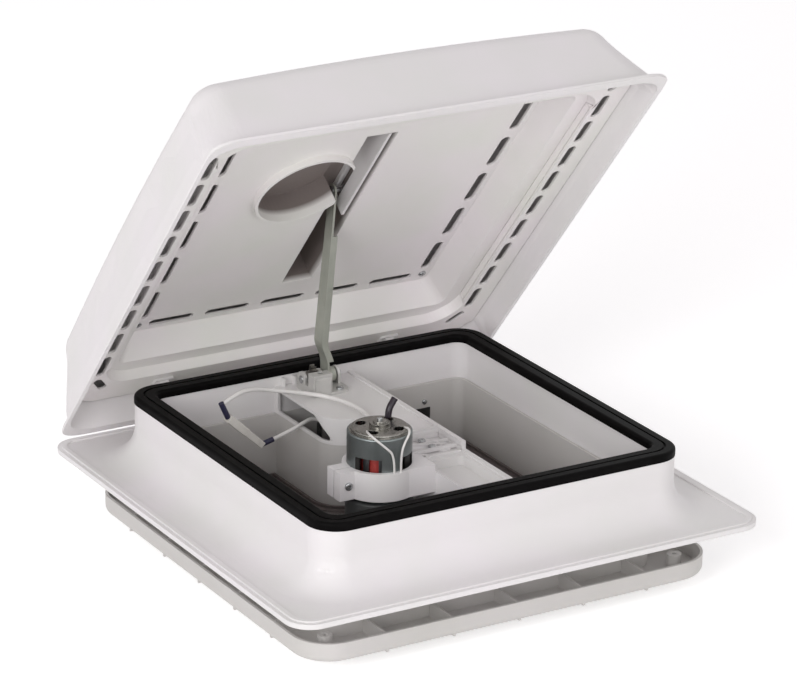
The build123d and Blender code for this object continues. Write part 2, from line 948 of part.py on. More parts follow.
# Screws that hold the bridge to its pads, with a cross slot in each head.
with BuildPart() as bridge_screws:
    for x, y in bridge_hole_at:
        rod(x, y, bridge_top - bridge_wall, bridge_top + bridge_pad_height, bridge_hole_radius)
        rod(
            x,
            y,
            bridge_top + bridge_pad_height,
            bridge_top + bridge_pad_height + housing_head_high,
            clamp_head_radius,
        )
        for width, depth in ((clamp_head_radius, rib_thick / 2), (rib_thick / 2, clamp_head_radius)):
            with Locations((x, y, bridge_top + bridge_pad_height + housing_head_high)):
                Box(width, depth, housing_head_high, mode=Mode.SUBTRACT)
bridge_screws.part.label = "bridge_screws"
export_step(bridge_screws.part, "parts/bridge_screws.step")

# Motor can with four windows and a bearing in its floor.
with BuildPart() as motor_can:
    rod(motor_x, motor_y, can_bottom, can_top, can_radius)
    fillet(motor_can.edges().group_by(Axis.Z)[-1], can_round / 2)
    rod(motor_x, motor_y, can_bottom + can_wall, can_top, can_radius - can_wall, Mode.SUBTRACT)
    rod(motor_x, motor_y, can_bottom, can_bottom + can_wall + cap_boss_top - cap_top, cap_boss_radius)
    rod(
        motor_x,
        motor_y,
        can_bottom,
        can_bottom + can_wall + cap_boss_top - cap_top,
        shaft_radius + running_gap,
        Mode.SUBTRACT,
    )
    window_half = can_radius * sin(radians(can_window_angle / 2))
    for turn in range(4):
        with Locations(
            Location(
                (motor_x, motor_y, (can_window_low + can_window_high) / 2),
                (0, 0, can_window_turn + 90 * turn),
            )
        ):
            with Locations((can_radius, 0, 0)):
                Box(
                    can_radius / 2,
                    2 * window_half,
                    can_window_high - can_window_low,
                    mode=Mode.SUBTRACT,
                )
motor_can.part.label = "motor_can"
export_step(motor_can.part, "parts/motor_can.step")

# End cap with its bearing boss and four openings.
with BuildPart() as motor_end_cap:
    rod(motor_x, motor_y, commutator_high, can_top, can_radius - can_wall)
    rod(motor_x, motor_y, can_top, cap_top, cap_radius - can_wall)
    fillet(motor_end_cap.edges().group_by(Axis.Z)[-1], can_wall)
    rod(motor_x, motor_y, cap_top, cap_boss_top, cap_boss_radius)
    rod(motor_x, motor_y, cap_boss_top, cap_ring_top, cap_ring_radius)
    fillet(motor_end_cap.edges().group_by(Axis.Z)[-1], can_wall / 2)
    rod(motor_x, motor_y, commutator_high, cap_ring_top, shaft_radius + running_gap, Mode.SUBTRACT)
    with BuildSketch(Plane.XY.offset(commutator_high)) as openings:
        for turn in range(4):
            with Locations(Location((motor_x, motor_y, 0), (0, 0, can_window_turn + 90 * turn))):
                with Locations(((cap_window_out + cap_window_in) / 2, 0)):
                    SlotOverall(
                        cap_window_out - cap_window_in + shaft_radius,
                        cap_window_out - cap_window_in,
                        rotation=90,
                    )
    extrude(openings.sketch, amount=cap_top - commutator_high, mode=Mode.SUBTRACT)
motor_end_cap.part.label = "motor_end_cap"
export_step(motor_end_cap.part, "parts/motor_end_cap.step")

# Field magnets stand between the windows.
wedge_reach = 2 * can_radius
wedge_spread = wedge_reach * sin(radians(45 - magnet_half_angle)) / cos(radians(45 - magnet_half_angle))
with BuildSketch() as window_wedge:
    with BuildLine():
        Polyline((0, 0), (wedge_reach, -wedge_spread), (wedge_reach, wedge_spread), close=True)
    make_face()
with BuildPart() as motor_magnets:
    with BuildSketch(Plane.XY.offset(magnet_low)) as arcs:
        with Locations((motor_x, motor_y)):
            Circle(can_radius - can_wall)
            Circle(can_radius - can_wall - magnet_thick, mode=Mode.SUBTRACT)
        for turn in range(4):
            with Locations(Location((motor_x, motor_y, 0), (0, 0, can_window_turn + 90 * turn))):
                add(window_wedge.sketch, mode=Mode.SUBTRACT)
    extrude(arcs.sketch, amount=magnet_high - magnet_low)
motor_magnets.part.label = "motor_magnets"
export_step(motor_magnets.part, "parts/motor_magnets.step")

# Slotted core, winding and commutator on the shaft.
with BuildPart() as rotor_core:
    rod(motor_x, motor_y, rotor_low, rotor_high, rotor_radius)
    rod(motor_x, motor_y, rotor_low, rotor_high, shaft_radius, Mode.SUBTRACT)
    for turn in range(rotor_slots):
        with Locations(Location((motor_x, motor_y, rotor_low), (0, 0, 360 / rotor_slots * turn))):
            with Locations((rotor_radius - rotor_slot_deep, 0, 0)):
                Box(
                    rotor_slot_deep + rotor_slot_width,
                    rotor_slot_width,
                    rotor_high - rotor_low,
                    align=(Align.MIN, Align.CENTER, Align.MIN),
                    mode=Mode.SUBTRACT,
                )
rotor_core.part.label = "rotor_core"
export_step(rotor_core.part, "parts/rotor_core.step")

with BuildPart() as rotor_winding:
    for level in (rotor_low - winding_height, rotor_high):
        rod(motor_x, motor_y, level, level + winding_height, winding_radius)
    fillet(rotor_winding.edges().filter_by(GeomType.CIRCLE), winding_height / 3)
    for turn in range(rotor_slots):
        with Locations(Location((motor_x, motor_y, rotor_low), (0, 0, 360 / rotor_slots * turn))):
            with Locations((rotor_radius - rotor_slot_deep, 0, -winding_height / 2)):
                Box(
                    rotor_slot_deep - rib_thick,
                    rotor_slot_width,
                    rotor_high - rotor_low + winding_height,
                    align=(Align.MIN, Align.CENTER, Align.MIN),
                )
    rod(
        motor_x,
        motor_y,
        rotor_low - winding_height,
        rotor_high + winding_height,
        shaft_radius,
        Mode.SUBTRACT,
    )
rotor_winding.part.label = "rotor_winding"
export_step(rotor_winding.part, "parts/rotor_winding.step")

with BuildPart() as commutator:
    rod(motor_x, motor_y, commutator_low, commutator_high - running_gap * 10, commutator_radius)
    rod(motor_x, motor_y, commutator_low, commutator_high, shaft_radius, Mode.SUBTRACT)
commutator.part.label = "commutator"
export_step(commutator.part, "parts/commutator.step")

with BuildPart() as motor_shaft:
    rod(motor_x, motor_y, shaft_bottom, shaft_top, shaft_radius)
    chamfer(motor_shaft.edges().filter_by(GeomType.CIRCLE), shaft_radius / 5)
motor_shaft.part.label = "motor_shaft"
export_step(motor_shaft.part, "parts/motor_shaft.step")

# Fan: a cup hub with twisted blades, held by a nut.
with BuildPart() as fan_impeller:
    rod(motor_x, motor_y, hub_bottom, hub_top, hub_radius)
    fillet(fan_impeller.edges().group_by(Axis.Z)[-1], hub_wall)
    rod(motor_x, motor_y, hub_bottom, hub_top - hub_wall, hub_radius - hub_wall, Mode.SUBTRACT)
    rod(motor_x, motor_y, hub_bottom, hub_top - hub_wall, fan_boss_radius)
    for turn in range(6):
        with Locations(Location((motor_x, motor_y, hub_bottom + hub_wall), (0, 0, 60 * turn))):
            Box(
                hub_radius - hub_wall / 2,
                rib_thick,
                hub_top - hub_bottom - 2 * hub_wall,
                align=(Align.MIN, Align.CENTER, Align.MIN),
            )
    for turn in range(blade_count):
        sections = []
        for reach, chord, pitch in (
            (blade_root, blade_chord_root, blade_pitch_root),
            (fan_radius, blade_chord_tip, blade_pitch_tip),
        ):
            heading = radians(360 / blade_count * turn)
            outward = (cos(heading), sin(heading), 0)
            across = (-sin(heading), cos(heading), 0)
            centre = (motor_x + reach * outward[0], motor_y + reach * outward[1], blade_z)
            with BuildSketch(Plane(origin=centre, x_dir=across, z_dir=outward)) as section:
                SlotOverall(chord, blade_thick, rotation=pitch)
            sections.append(section.sketch.faces()[0])
        loft(sections)
    rod(motor_x, motor_y, hub_bottom, hub_top, shaft_radius, Mode.SUBTRACT)
fan_impeller.part.label = "fan_impeller"
export_step(fan_impeller.part, "parts/fan_impeller.step")

with BuildPart() as fan_nut:
    with BuildSketch(Plane.XY.offset(hub_bottom - nut_high)) as hexagon:
        with Locations((motor_x, motor_y)):
            RegularPolygon(nut_radius, 6)
            Circle(shaft_radius, mode=Mode.SUBTRACT)
    extrude(hexagon.sketch, amount=nut_high)
fan_nut.part.label = "fan_nut"
export_step(fan_nut.part, "parts/fan_nut.step")

# Clamp round the front half of the motor, with its ear and its end against the beam.
with BuildPart() as motor_clamp:
    with BuildSketch(Plane.XY.offset(clamp_low)) as half:
        with Locations((motor_x, motor_y)):
            Circle(can_radius + clamp_thick)
            with Locations((-(can_radius + ear_outer) / 2, -ear_depth / 2)):
                Rectangle(ear_outer - can_radius + clamp_thick, ear_depth)
        with Locations(((motor_x + beam_left) / 2, motor_y + clamp_end_y / 2)):
            Rectangle(beam_left - motor_x, -clamp_end_y)
        with Locations((motor_x, motor_y - ear_split)):
            Rectangle(
                2 * (ear_outer + fan_radius),
                2 * ear_outer,
                align=(Align.CENTER, Align.MAX),
                mode=Mode.INTERSECT,
            )
        with Locations((motor_x, motor_y)):
            Circle(can_radius, mode=Mode.SUBTRACT)
    extrude(half.sketch, amount=clamp_high - clamp_low)
    with Locations(Location((screw_x, motor_y - ear_depth / 2, clamp_screw_z), (90, 0, 0))):
        Cylinder(clamp_screw_radius, 2 * ear_depth, mode=Mode.SUBTRACT)
motor_clamp.part.label = "motor_clamp"
export_step(motor_clamp.part, "parts/motor_clamp.step")

with BuildPart() as clamp_screw:
    with Locations(
        Location((screw_x, motor_y - ear_depth + clamp_screw_length / 2, clamp_screw_z), (90, 0, 0)),
    ):
        Cylinder(clamp_screw_radius, clamp_screw_length)
    with Locations(Location((screw_x, motor_y - ear_depth - clamp_head_high / 2, clamp_screw_z), (90, 0, 0))):
        Cylinder(clamp_head_radius, clamp_head_high)
    for width, depth in ((clamp_head_radius, rib_thick / 2), (rib_thick / 2, clamp_head_radius)):
        with Locations((screw_x, motor_y - ear_depth - clamp_head_high, clamp_screw_z)):
            Box(width, clamp_head_high, depth, mode=Mode.SUBTRACT)
clamp_screw.part.label = "clamp_screw"
export_step(clamp_screw.part, "parts/clamp_screw.step")


def dome(inset):
    """The lid's outer form: drafted walls under a shallow crown with a round edge."""
    with BuildPart() as form:
        lid_frustum(
            0,
            lid_wall_x - inset,
            lid_wall_y - inset,
            lid_corner - inset,
            lid_loft_depth,
            lid_loft_x - inset,
            lid_loft_y - inset,
            lid_corner - inset,
        )
        crown_centre = lid_plane.from_local_coords((0, lid_y, lid_z + lid_crown - lid_crown_radius))
        with Locations(crown_centre):
            Sphere(lid_crown_radius - inset, mode=Mode.INTERSECT)
        level = Axis(lid_plane.origin, lid_plane.z_dir)
        crown_face = form.faces().sort_by(level)[-1]
        fillet(crown_face.edges(), lid_edge_round - inset)
    return form.part


outer_form = dome(0)
inner_form = dome(lid_skin)
with BuildPart() as lid_dome:
    add(outer_form)
    lid_rectangle(0, lip_half_x, lip_half_y, lip_corner, lip_thick)
    add(inner_form, mode=Mode.SUBTRACT)
    for x in (-liner_screw_x, liner_screw_x):
        for v in (-liner_screw_y, liner_screw_y):
            lid_rod(
                x,
                v - lid_mid_y,
                panel_depth + liner_thick,
                lid_crown - 2 * lid_skin - liner_thick,
                liner_boss_radius,
            )
            lid_rod(
                x,
                v - lid_mid_y,
                panel_depth + liner_thick,
                panel_depth + liner_thick + liner_screw_length,
                liner_screw_radius,
                Mode.SUBTRACT,
            )
lid_dome.part.label = "lid_dome"
export_step(lid_dome.part, "parts/lid_dome.step")

# The liner is one sheet: the same form twice, the second raised by the sheet's thickness.
panel_v = -lid_mid_y


def liner_form(rise, grow):
    """Everything above one skin of the liner."""
    with BuildPart() as form:
        lid_rectangle(
            liner_rim_depth + rise,
            liner_x,
            liner_y,
            liner_corner,
            channel_depth + 2 * liner_thick - liner_rim_depth,
        )
        for low, half_low, high, half_high, corner in (
            (liner_rim_depth, land_step_out, land_depth, land_out, land_corner),
            (land_depth, land_in, panel_depth, panel_half, step_inner_corner),
        ):
            with BuildSketch(lid_at(low + rise)) as mouth:
                with Locations((0, lid_y + panel_v)):
                    RectangleRounded(2 * half_low, 2 * half_low, corner)
            with BuildSketch(lid_at(high + rise)) as inner:
                with Locations((0, lid_y + panel_v)):
                    RectangleRounded(2 * half_high, 2 * half_high, corner)
            loft([mouth.sketch.faces()[0], inner.sketch.faces()[0]], mode=Mode.SUBTRACT)
        lid_rod(
            recess_x,
            recess_v,
            panel_depth - liner_thick,
            recess_depth + rise,
            recess_radius + grow,
            Mode.SUBTRACT,
        )
        lid_box(
            channel_left - grow,
            channel_right + grow,
            channel_front - grow,
            channel_back + grow,
            panel_depth - liner_thick,
            channel_depth + rise,
            Mode.SUBTRACT,
        )
    return form.part


lower_skin = liner_form(0, 0)
upper_skin = liner_form(liner_thick, liner_thick)
with BuildPart() as lid_liner:
    add(lower_skin)
    add(upper_skin, mode=Mode.SUBTRACT)
    # Lip round the motor recess
    with BuildSketch(lid_at(panel_depth - recess_lip_drop)) as lip:
        with Locations((recess_x, lid_y + recess_v)):
            Circle(recess_radius + recess_lip_width)
            Circle(recess_radius, mode=Mode.SUBTRACT)
        with Locations(((channel_left + channel_right) / 2, lid_y)):
            Rectangle(
                channel_right - channel_left,
                channel_back - channel_front,
                mode=Mode.SUBTRACT,
            )
    extrude(lip.sketch, amount=recess_lip_drop)
    # Cross ribs in the arm channel, left of the guide
    for v in channel_rib_at:
        lid_box(
            channel_left - liner_thick / 2,
            channel_left + channel_rib_drop / 2,
            v - channel_rib_thick / 2,
            v + channel_rib_thick / 2,
            channel_depth - channel_rib_drop / 2,
            channel_depth + liner_thick / 2,
        )
    # Slots round the centre panel and round the rim
    with BuildSketch(lid_at(panel_depth - liner_thick)) as slots:
        for turn in range(4):
            for step in range(slot_per_side):
                along = (step - (slot_per_side - 1) / 2) * slot_pitch
                with Locations(Location((0, lid_y + panel_v, 0), (0, 0, 90 * turn))):
                    with Locations((along, slot_square)):
                        SlotOverall(slot_length, slot_width)
    extrude(slots.sketch, amount=3 * liner_thick, mode=Mode.SUBTRACT)
    with BuildSketch(lid_at(liner_rim_depth - liner_thick)) as rim_slots:
        for side in (-1, 1):
            for step in range(outer_slot_count):
                with Locations((side * outer_slot_at, lid_y + outer_slot_first + step * outer_slot_pitch)):
                    SlotOverall(outer_slot_length, outer_slot_width, rotation=90)
            with Locations((side * corner_slot_x, lid_y + corner_slot_y)):
                SlotOverall(corner_slot_length, outer_slot_width, rotation=side * -45)
    extrude(rim_slots.sketch, amount=3 * liner_thick, mode=Mode.SUBTRACT)
    for x in (-liner_screw_x, liner_screw_x):
        for v in (-liner_screw_y, liner_screw_y):
            lid_rod(
                x,
                v - lid_mid_y,
                panel_depth - liner_thick,
                panel_depth + 2 * liner_thick,
                liner_screw_radius,
                Mode.SUBTRACT,
            )
    for v in guide_screw_at:
        lid_rod(
            (guide_web_x + guide_web_thick + guide_flange_x) / 2,
            v,
            channel_depth,
            channel_depth + 2 * liner_thick,
            guide_screw_radius,
            Mode.SUBTRACT,
        )
lid_liner.part.label = "lid_liner"
export_step(lid_liner.part, "parts/lid_liner.step")

with BuildPart() as liner_screws:
    for x in (-liner_screw_x, liner_screw_x):
        for v in (-liner_screw_y, liner_screw_y):
            lid_rod(x, v - lid_mid_y, panel_depth, panel_depth + liner_screw_length, liner_screw_radius)
            lid_rod(x, v - lid_mid_y, panel_depth - liner_head_high, panel_depth, liner_head_radius)
            for width, depth in ((liner_head_radius, rib_thick / 2), (rib_thick / 2, liner_head_radius)):
                lid_box(
                    x - width / 2,
                    x + width / 2,
                    v - lid_mid_y - depth / 2,
                    v - lid_mid_y + depth / 2,
                    panel_depth - liner_head_high,
                    panel_depth - liner_head_high / 2,
                    Mode.SUBTRACT,
                )
liner_screws.part.label = "liner_screws"
export_step(liner_screws.part, "parts/liner_screws.step")

# Guide in which the arm's end pin slides.
with BuildPart() as arm_guide:
    lid_box(guide_web_x, guide_web_x + guide_web_thick, guide_front, guide_back, guide_low, channel_depth)
    lid_box(
        guide_web_x,
        guide_flange_x,
        guide_front,
        guide_back,
        channel_depth - guide_flange_thick,
        channel_depth,
    )
    lid_box(
        guide_web_x - rib_thick,
        guide_web_x + 2 * guide_web_thick - rib_thick,
        guide_slot_front,
        guide_slot_back,
        guide_slot_low,
        guide_slot_high,
        Mode.SUBTRACT,
    )
    for v in guide_screw_at:
        lid_rod(
            (guide_web_x + guide_web_thick + guide_flange_x) / 2,
            v,
            channel_depth - 2 * guide_flange_thick,
            channel_depth,
            guide_screw_radius,
            Mode.SUBTRACT,
        )
arm_guide.part.label = "arm_guide"
export_step(arm_guide.part, "parts/arm_guide.step")

with BuildPart() as guide_screws:
    for v in guide_screw_at:
        guide_x = (guide_web_x + guide_web_thick + guide_flange_x) / 2
        lid_rod(
            guide_x,
            v,
            channel_depth - guide_flange_thick,
            channel_depth + liner_thick,
            guide_screw_radius,
        )
        lid_rod(
            guide_x,
            v,
            channel_depth - guide_flange_thick - guide_head_high,
            channel_depth - guide_flange_thick,
            guide_head_radius - guide_screw_radius / 3,
        )
guide_screws.part.label = "guide_screws"
export_step(guide_screws.part, "parts/guide_screws.step")

# Lugs under the liner's rear border, one in each fork of the base.
with BuildPart() as lid_hinge_lugs:
    for side in (-1, 1):
        with BuildSketch(lid_plane) as neck_plan:
            with Locations((side * lug_x, 0)):
                Rectangle(lug_thick, 2 * lug_radius)
        extrude(neck_plan.sketch, amount=lid_z + liner_rim_depth)
        cross_rod(side * lug_x - lug_thick / 2, side * lug_x + lug_thick / 2, hinge_y, hinge_z, lug_radius)
        with BuildSketch(lid_plane.offset(lid_z + liner_rim_depth - liner_thick)) as pad_plan:
            with Locations((side * lug_x, 0)):
                RectangleRounded(lug_thick + 2 * lug_pad / 3, lug_pad, lug_thick / 4)
        extrude(pad_plan.sketch, amount=liner_thick)
        cross_rod(
            side * lug_x - lug_thick,
            side * lug_x + lug_thick,
            hinge_y,
            hinge_z,
            pin_radius + pin_gap,
            Mode.SUBTRACT,
        )
lid_hinge_lugs.part.label = "lid_hinge_lugs"
export_step(lid_hinge_lugs.part, "parts/lid_hinge_lugs.step")

with BuildPart() as hinge_pins:
    for side in (-1, 1):
        half_pin = lug_thick / 2 + ear_gap + ear_thick
        cross_rod(side * lug_x - half_pin, side * lug_x + half_pin, hinge_y, hinge_z, pin_radius)
        for hand in (-1, 1):
            inner_end = side * lug_x + hand * half_pin
            cross_rod(
                min(inner_end, inner_end + hand * pin_head_thick),
                max(inner_end, inner_end + hand * pin_head_thick),
                hinge_y,
                hinge_z,
                pin_head_radius,
            )
hinge_pins.part.label = "hinge_pins"
export_step(hinge_pins.part, "parts/hinge_pins.step")

# Lift arm: a folded strip with a bend near its foot.
arm_plane = Plane(origin=(arm_x, pivot_y, pivot_z), x_dir=arm_dir, z_dir=(1, 0, 0))
front_at_start = arm_foot_half - arm_bend_rise * arm_flange_start / arm_bend_along


def front_edge(along):
    """Front edge of the arm beyond its bend."""
    share = (along - arm_bend_along) / (arm_length - arm_bend_along)
    at_bend = arm_foot_half - arm_bend_rise
    return at_bend + (arm_tip_half - at_bend) * share


with BuildPart() as lift_arm:
    with BuildSketch(arm_plane) as web:
        with BuildLine():
            Polyline(
                (0, arm_hub_radius),
                (arm_flange_start, front_at_start),
                (arm_bend_along, arm_foot_half - arm_bend_rise),
                (arm_length, arm_tip_half),
                (arm_length, -arm_tip_half),
                (arm_bend_along, -arm_foot_half - arm_bend_rise),
                (0, -arm_hub_radius),
                close=True,
            )
        make_face()
        with Locations((0, 0)):
            Circle(arm_hub_radius)
        with Locations((arm_length, 0)):
            Circle(arm_tip_half)
    extrude(web.sketch, amount=arm_thick)
    with BuildSketch(arm_plane) as fold:
        with BuildLine():
            Polyline(
                (arm_flange_start, front_at_start),
                (arm_bend_along, arm_foot_half - arm_bend_rise),
                (arm_flange_end, front_edge(arm_flange_end)),
                (arm_flange_end, front_edge(arm_flange_end) - arm_thick),
                (arm_bend_along, arm_foot_half - arm_bend_rise - arm_thick),
                (arm_flange_start, front_at_start - arm_thick),
                close=True,
            )
        make_face()
    extrude(fold.sketch, amount=arm_flange)
    with BuildSketch(arm_plane) as boss:
        Circle(arm_hub_radius)
    extrude(boss.sketch, amount=arm_hub_right - arm_x)
    with BuildSketch(arm_plane) as bores:
        Circle(shaft_pivot_radius)
        with Locations((arm_length, 0)):
            Circle(arm_pin_radius)
    extrude(bores.sketch, amount=arm_hub_right, both=True, mode=Mode.SUBTRACT)
lift_arm.part.label = "lift_arm"
export_step(lift_arm.part, "parts/lift_arm.step")

with BuildPart() as arm_end_pin:
    tip = arm_plane.from_local_coords((arm_length, 0, 0))
    cross_rod(arm_x, arm_pin_right, tip.Y, tip.Z, arm_pin_radius)
    cross_rod(arm_pin_right - arm_pin_head, arm_pin_right, tip.Y, tip.Z, arm_pin_head_radius)
    cross_rod(arm_pin_left, arm_x, tip.Y, tip.Z, arm_pin_head_radius)
arm_end_pin.part.label = "arm_end_pin"
export_step(arm_end_pin.part, "parts/arm_end_pin.step")

with BuildPart() as pivot_shaft:
    cross_rod(shaft_pivot_left, shaft_pivot_right, pivot_y, pivot_z, shaft_pivot_radius)
    chamfer(pivot_shaft.edges().filter_by(GeomType.CIRCLE), shaft_pivot_radius / 8)
pivot_shaft.part.label = "pivot_shaft"
export_step(pivot_shaft.part, "parts/pivot_shaft.step")

# Sector gear on the pivot shaft, in mesh with the worm in front of it.
gear_plane = Plane(origin=(gear_x - gear_thick / 2, pivot_y, pivot_z), x_dir=(0, 1, 0), z_dir=(1, 0, 0))
gear_root = gear_pitch_radius - gear_root_drop
gear_tip = gear_pitch_radius + gear_tip_rise
tooth_half = pi * gear_module * tooth_share / 2
tooth_angle = 360 / gear_teeth
with BuildSketch() as gear_tooth:
    with BuildLine():
        Polyline(
            (gear_root - rib_thick / 2, -tooth_half - gear_tip_rise / 3),
            (gear_root, -tooth_half - gear_tip_rise / 3),
            (gear_tip, -tooth_half + gear_tip_rise / 3),
            (gear_tip, tooth_half - gear_tip_rise / 3),
            (gear_root, tooth_half + gear_tip_rise / 3),
            (gear_root - rib_thick / 2, tooth_half + gear_tip_rise / 3),
            close=True,
        )
    make_face()
with BuildPart() as sector_gear:
    with BuildSketch(gear_plane) as wheel:
        with BuildLine():
            first = (gear_root * cos(radians(gear_from)), gear_root * sin(radians(gear_from)))
            middle_angle = radians((gear_from + gear_to) / 2)
            middle = (gear_root * cos(middle_angle), gear_root * sin(middle_angle))
            last = (gear_root * cos(radians(gear_to)), gear_root * sin(radians(gear_to)))
            ThreePointArc(first, middle, last)
            Line(last, (0, 0))
            Line((0, 0), first)
        make_face()
        Circle(arm_hub_radius)
        for count in range(gear_teeth):
            heading = 180 + (count - gear_teeth // 2) * tooth_angle
            if gear_from + gear_margin < heading < gear_to - gear_margin:
                with Locations(Location((0, 0, 0), (0, 0, heading))):
                    add(gear_tooth.sketch)
        Circle(shaft_pivot_radius, mode=Mode.SUBTRACT)
    extrude(wheel.sketch, amount=gear_thick)
sector_gear.part.label = "sector_gear"
export_step(sector_gear.part, "parts/sector_gear.step")

# Worm: a single thread that stands half a lead off the gear's teeth.
worm_root = worm_pitch_radius - gear_root_drop
worm_tip = worm_pitch_radius + gear_tip_rise
thread_half = pi * gear_module * tooth_share / 2
thread_start = pivot_z - worm_start_share * worm_lead
worm_foot = thread_start - gear_module
worm_length = worm_turns * worm_lead + 2 * gear_module
with BuildPart() as worm_thread:
    with BuildLine() as thread_path:
        Helix(pitch=worm_lead, height=worm_turns * worm_lead, radius=worm_root)
    with BuildSketch(Plane(origin=(worm_root, 0, 0), x_dir=(1, 0, 0), z_dir=(0, 1, 0))) as thread:
        with BuildLine():
            Polyline(
                (-gear_tip_rise / 3, -thread_half - gear_tip_rise / 3),
                (worm_tip - worm_root, -thread_half + gear_tip_rise / 3),
                (worm_tip - worm_root, thread_half - gear_tip_rise / 3),
                (-gear_tip_rise / 3, thread_half + gear_tip_rise / 3),
                close=True,
            )
        make_face()
    sweep(thread.sketch, path=thread_path.line, is_frenet=True)
with BuildPart() as lift_worm:
    rod(gear_x, worm_y, worm_foot, worm_foot + worm_length, worm_root)
    with Locations((gear_x, worm_y, thread_start)):
        add(worm_thread.part)
    rod(
        gear_x,
        worm_y,
        worm_foot - gear_module,
        worm_foot + worm_length + gear_module,
        crank_shaft_radius,
        Mode.SUBTRACT,
    )
lift_worm.part.label = "lift_worm"
export_step(lift_worm.part, "parts/lift_worm.step")

with BuildPart() as crank_shaft:
    rod(gear_x, worm_y, knob_bottom + knob_dish_deep + skin, worm_journal_top, crank_shaft_radius)
crank_shaft.part.label = "crank_shaft"
export_step(crank_shaft.part, "parts/crank_shaft.step")

with BuildPart() as crank_knob:
    rod(gear_x, worm_y, knob_bottom, knob_top, knob_radius)
    with BuildSketch(Plane.XY.offset(knob_bottom)) as grips:
        with Locations((gear_x, worm_y)):
            with PolarLocations(knob_grip_at, knob_grips):
                Circle(knob_grip_radius)
    extrude(grips.sketch, amount=knob_top - knob_bottom, mode=Mode.SUBTRACT)
    fillet(crank_knob.edges().group_by(Axis.Z)[0], knob_round)
    rod(gear_x, worm_y, knob_bottom, knob_bottom + knob_dish_deep, knob_dish, Mode.SUBTRACT)
    rod(
        gear_x,
        worm_y,
        knob_bottom + knob_dish_deep + skin,
        knob_top,
        crank_shaft_radius,
        Mode.SUBTRACT,
    )
crank_knob.part.label = "crank_knob"
export_step(crank_knob.part, "parts/crank_knob.step")

# Die-cast housing: a plate, three cheeks for the pivot and a strap over the worm.
with BuildPart() as lift_housing:
    with BuildSketch(Plane.XY.offset(bridge_top)) as plate:
        with Locations(((housing_left + housing_right) / 2, (housing_front + housing_back) / 2)):
            RectangleRounded(housing_right - housing_left, housing_back - housing_front, housing_corner)
    extrude(plate.sketch, amount=housing_plate)
    plate_top = bridge_top + housing_plate
    for left in (housing_left, cheek_mid_x, cheek_right_x):
        block(
            left,
            left + cheek_thick,
            pivot_y - cheek_radius,
            pivot_y + cheek_radius,
            bridge_top + housing_plate / 2,
            pivot_z,
        )
        cross_rod(left, left + cheek_thick, pivot_y, pivot_z, cheek_radius)
    for left in (housing_left, cheek_mid_x):
        block(
            left,
            left + cheek_thick,
            strap_front,
            pivot_y,
            bridge_top + housing_plate / 2,
            pivot_z - cheek_thick,
        )
        block(left, left + cheek_thick, strap_front, strap_back, bridge_top + housing_plate / 2, strap_high)
    block(housing_left, cheek_mid_x + cheek_thick, strap_front, strap_back, strap_low, strap_high)
    cross_rod(
        housing_left,
        cheek_right_x + cheek_thick,
        pivot_y,
        pivot_z,
        shaft_pivot_radius + running_gap,
        Mode.SUBTRACT,
    )
    rod(gear_x, worm_y, bridge_top, strap_high, crank_shaft_radius + running_gap, Mode.SUBTRACT)
    block(
        gear_x - gear_thick,
        gear_x + gear_thick,
        gear_slot_front,
        gear_slot_back,
        bridge_top,
        plate_top,
        Mode.SUBTRACT,
    )
    for x, y in housing_screw_at:
        rod(x, y, bridge_top, plate_top, housing_screw_radius, Mode.SUBTRACT)
lift_housing.part.label = "lift_housing"
export_step(lift_housing.part, "parts/lift_housing.step")

with BuildPart() as housing_screws:
    for x, y in housing_screw_at:
        rod(x, y, plate_top - housing_screw_length, plate_top, housing_screw_radius)
        rod(x, y, plate_top, plate_top + housing_head_high, housing_head_radius)
        for width, depth in ((housing_head_radius, rib_thick / 2), (rib_thick / 2, housing_head_radius)):
            with Locations((x, y, plate_top + housing_head_high)):
                Box(width, depth, housing_head_high, mode=Mode.SUBTRACT)
housing_screws.part.label = "housing_screws"
export_step(housing_screws.part, "parts/housing_screws.step")

# Fan switch: a body that clips into the column's floor and a rocker.
with BuildPart() as switch_body:
    block(
        switch_x - switch_w / 2,
        switch_x + switch_w / 2,
        switch_y - switch_h / 2,
        switch_y + switch_h / 2,
        trim_bottom,
        trim_bottom + switch_deep,
    )
    block(
        switch_x - switch_w / 2 - switch_lip,
        switch_x + switch_w / 2 + switch_lip,
        switch_y - switch_h / 2 - switch_lip,
        switch_y + switch_h / 2 + switch_lip,
        trim_bottom - switch_lip_thick,
        trim_bottom,
    )
    block(
        switch_x - switch_w / 2 + switch_wall,
        switch_x + switch_w / 2 - switch_wall,
        switch_y - switch_h / 2 + switch_wall,
        switch_y + switch_h / 2 - switch_wall,
        trim_bottom - switch_lip_thick,
        trim_bottom + switch_deep - switch_wall,
        Mode.SUBTRACT,
    )
    with Locations(Location((switch_x, switch_y, rocker_pivot), (90, 0, 0))):
        Cylinder(rocker_pin_radius + running_gap, switch_h - switch_wall, mode=Mode.SUBTRACT)
switch_body.part.label = "switch_body"
export_step(switch_body.part, "parts/switch_body.step")

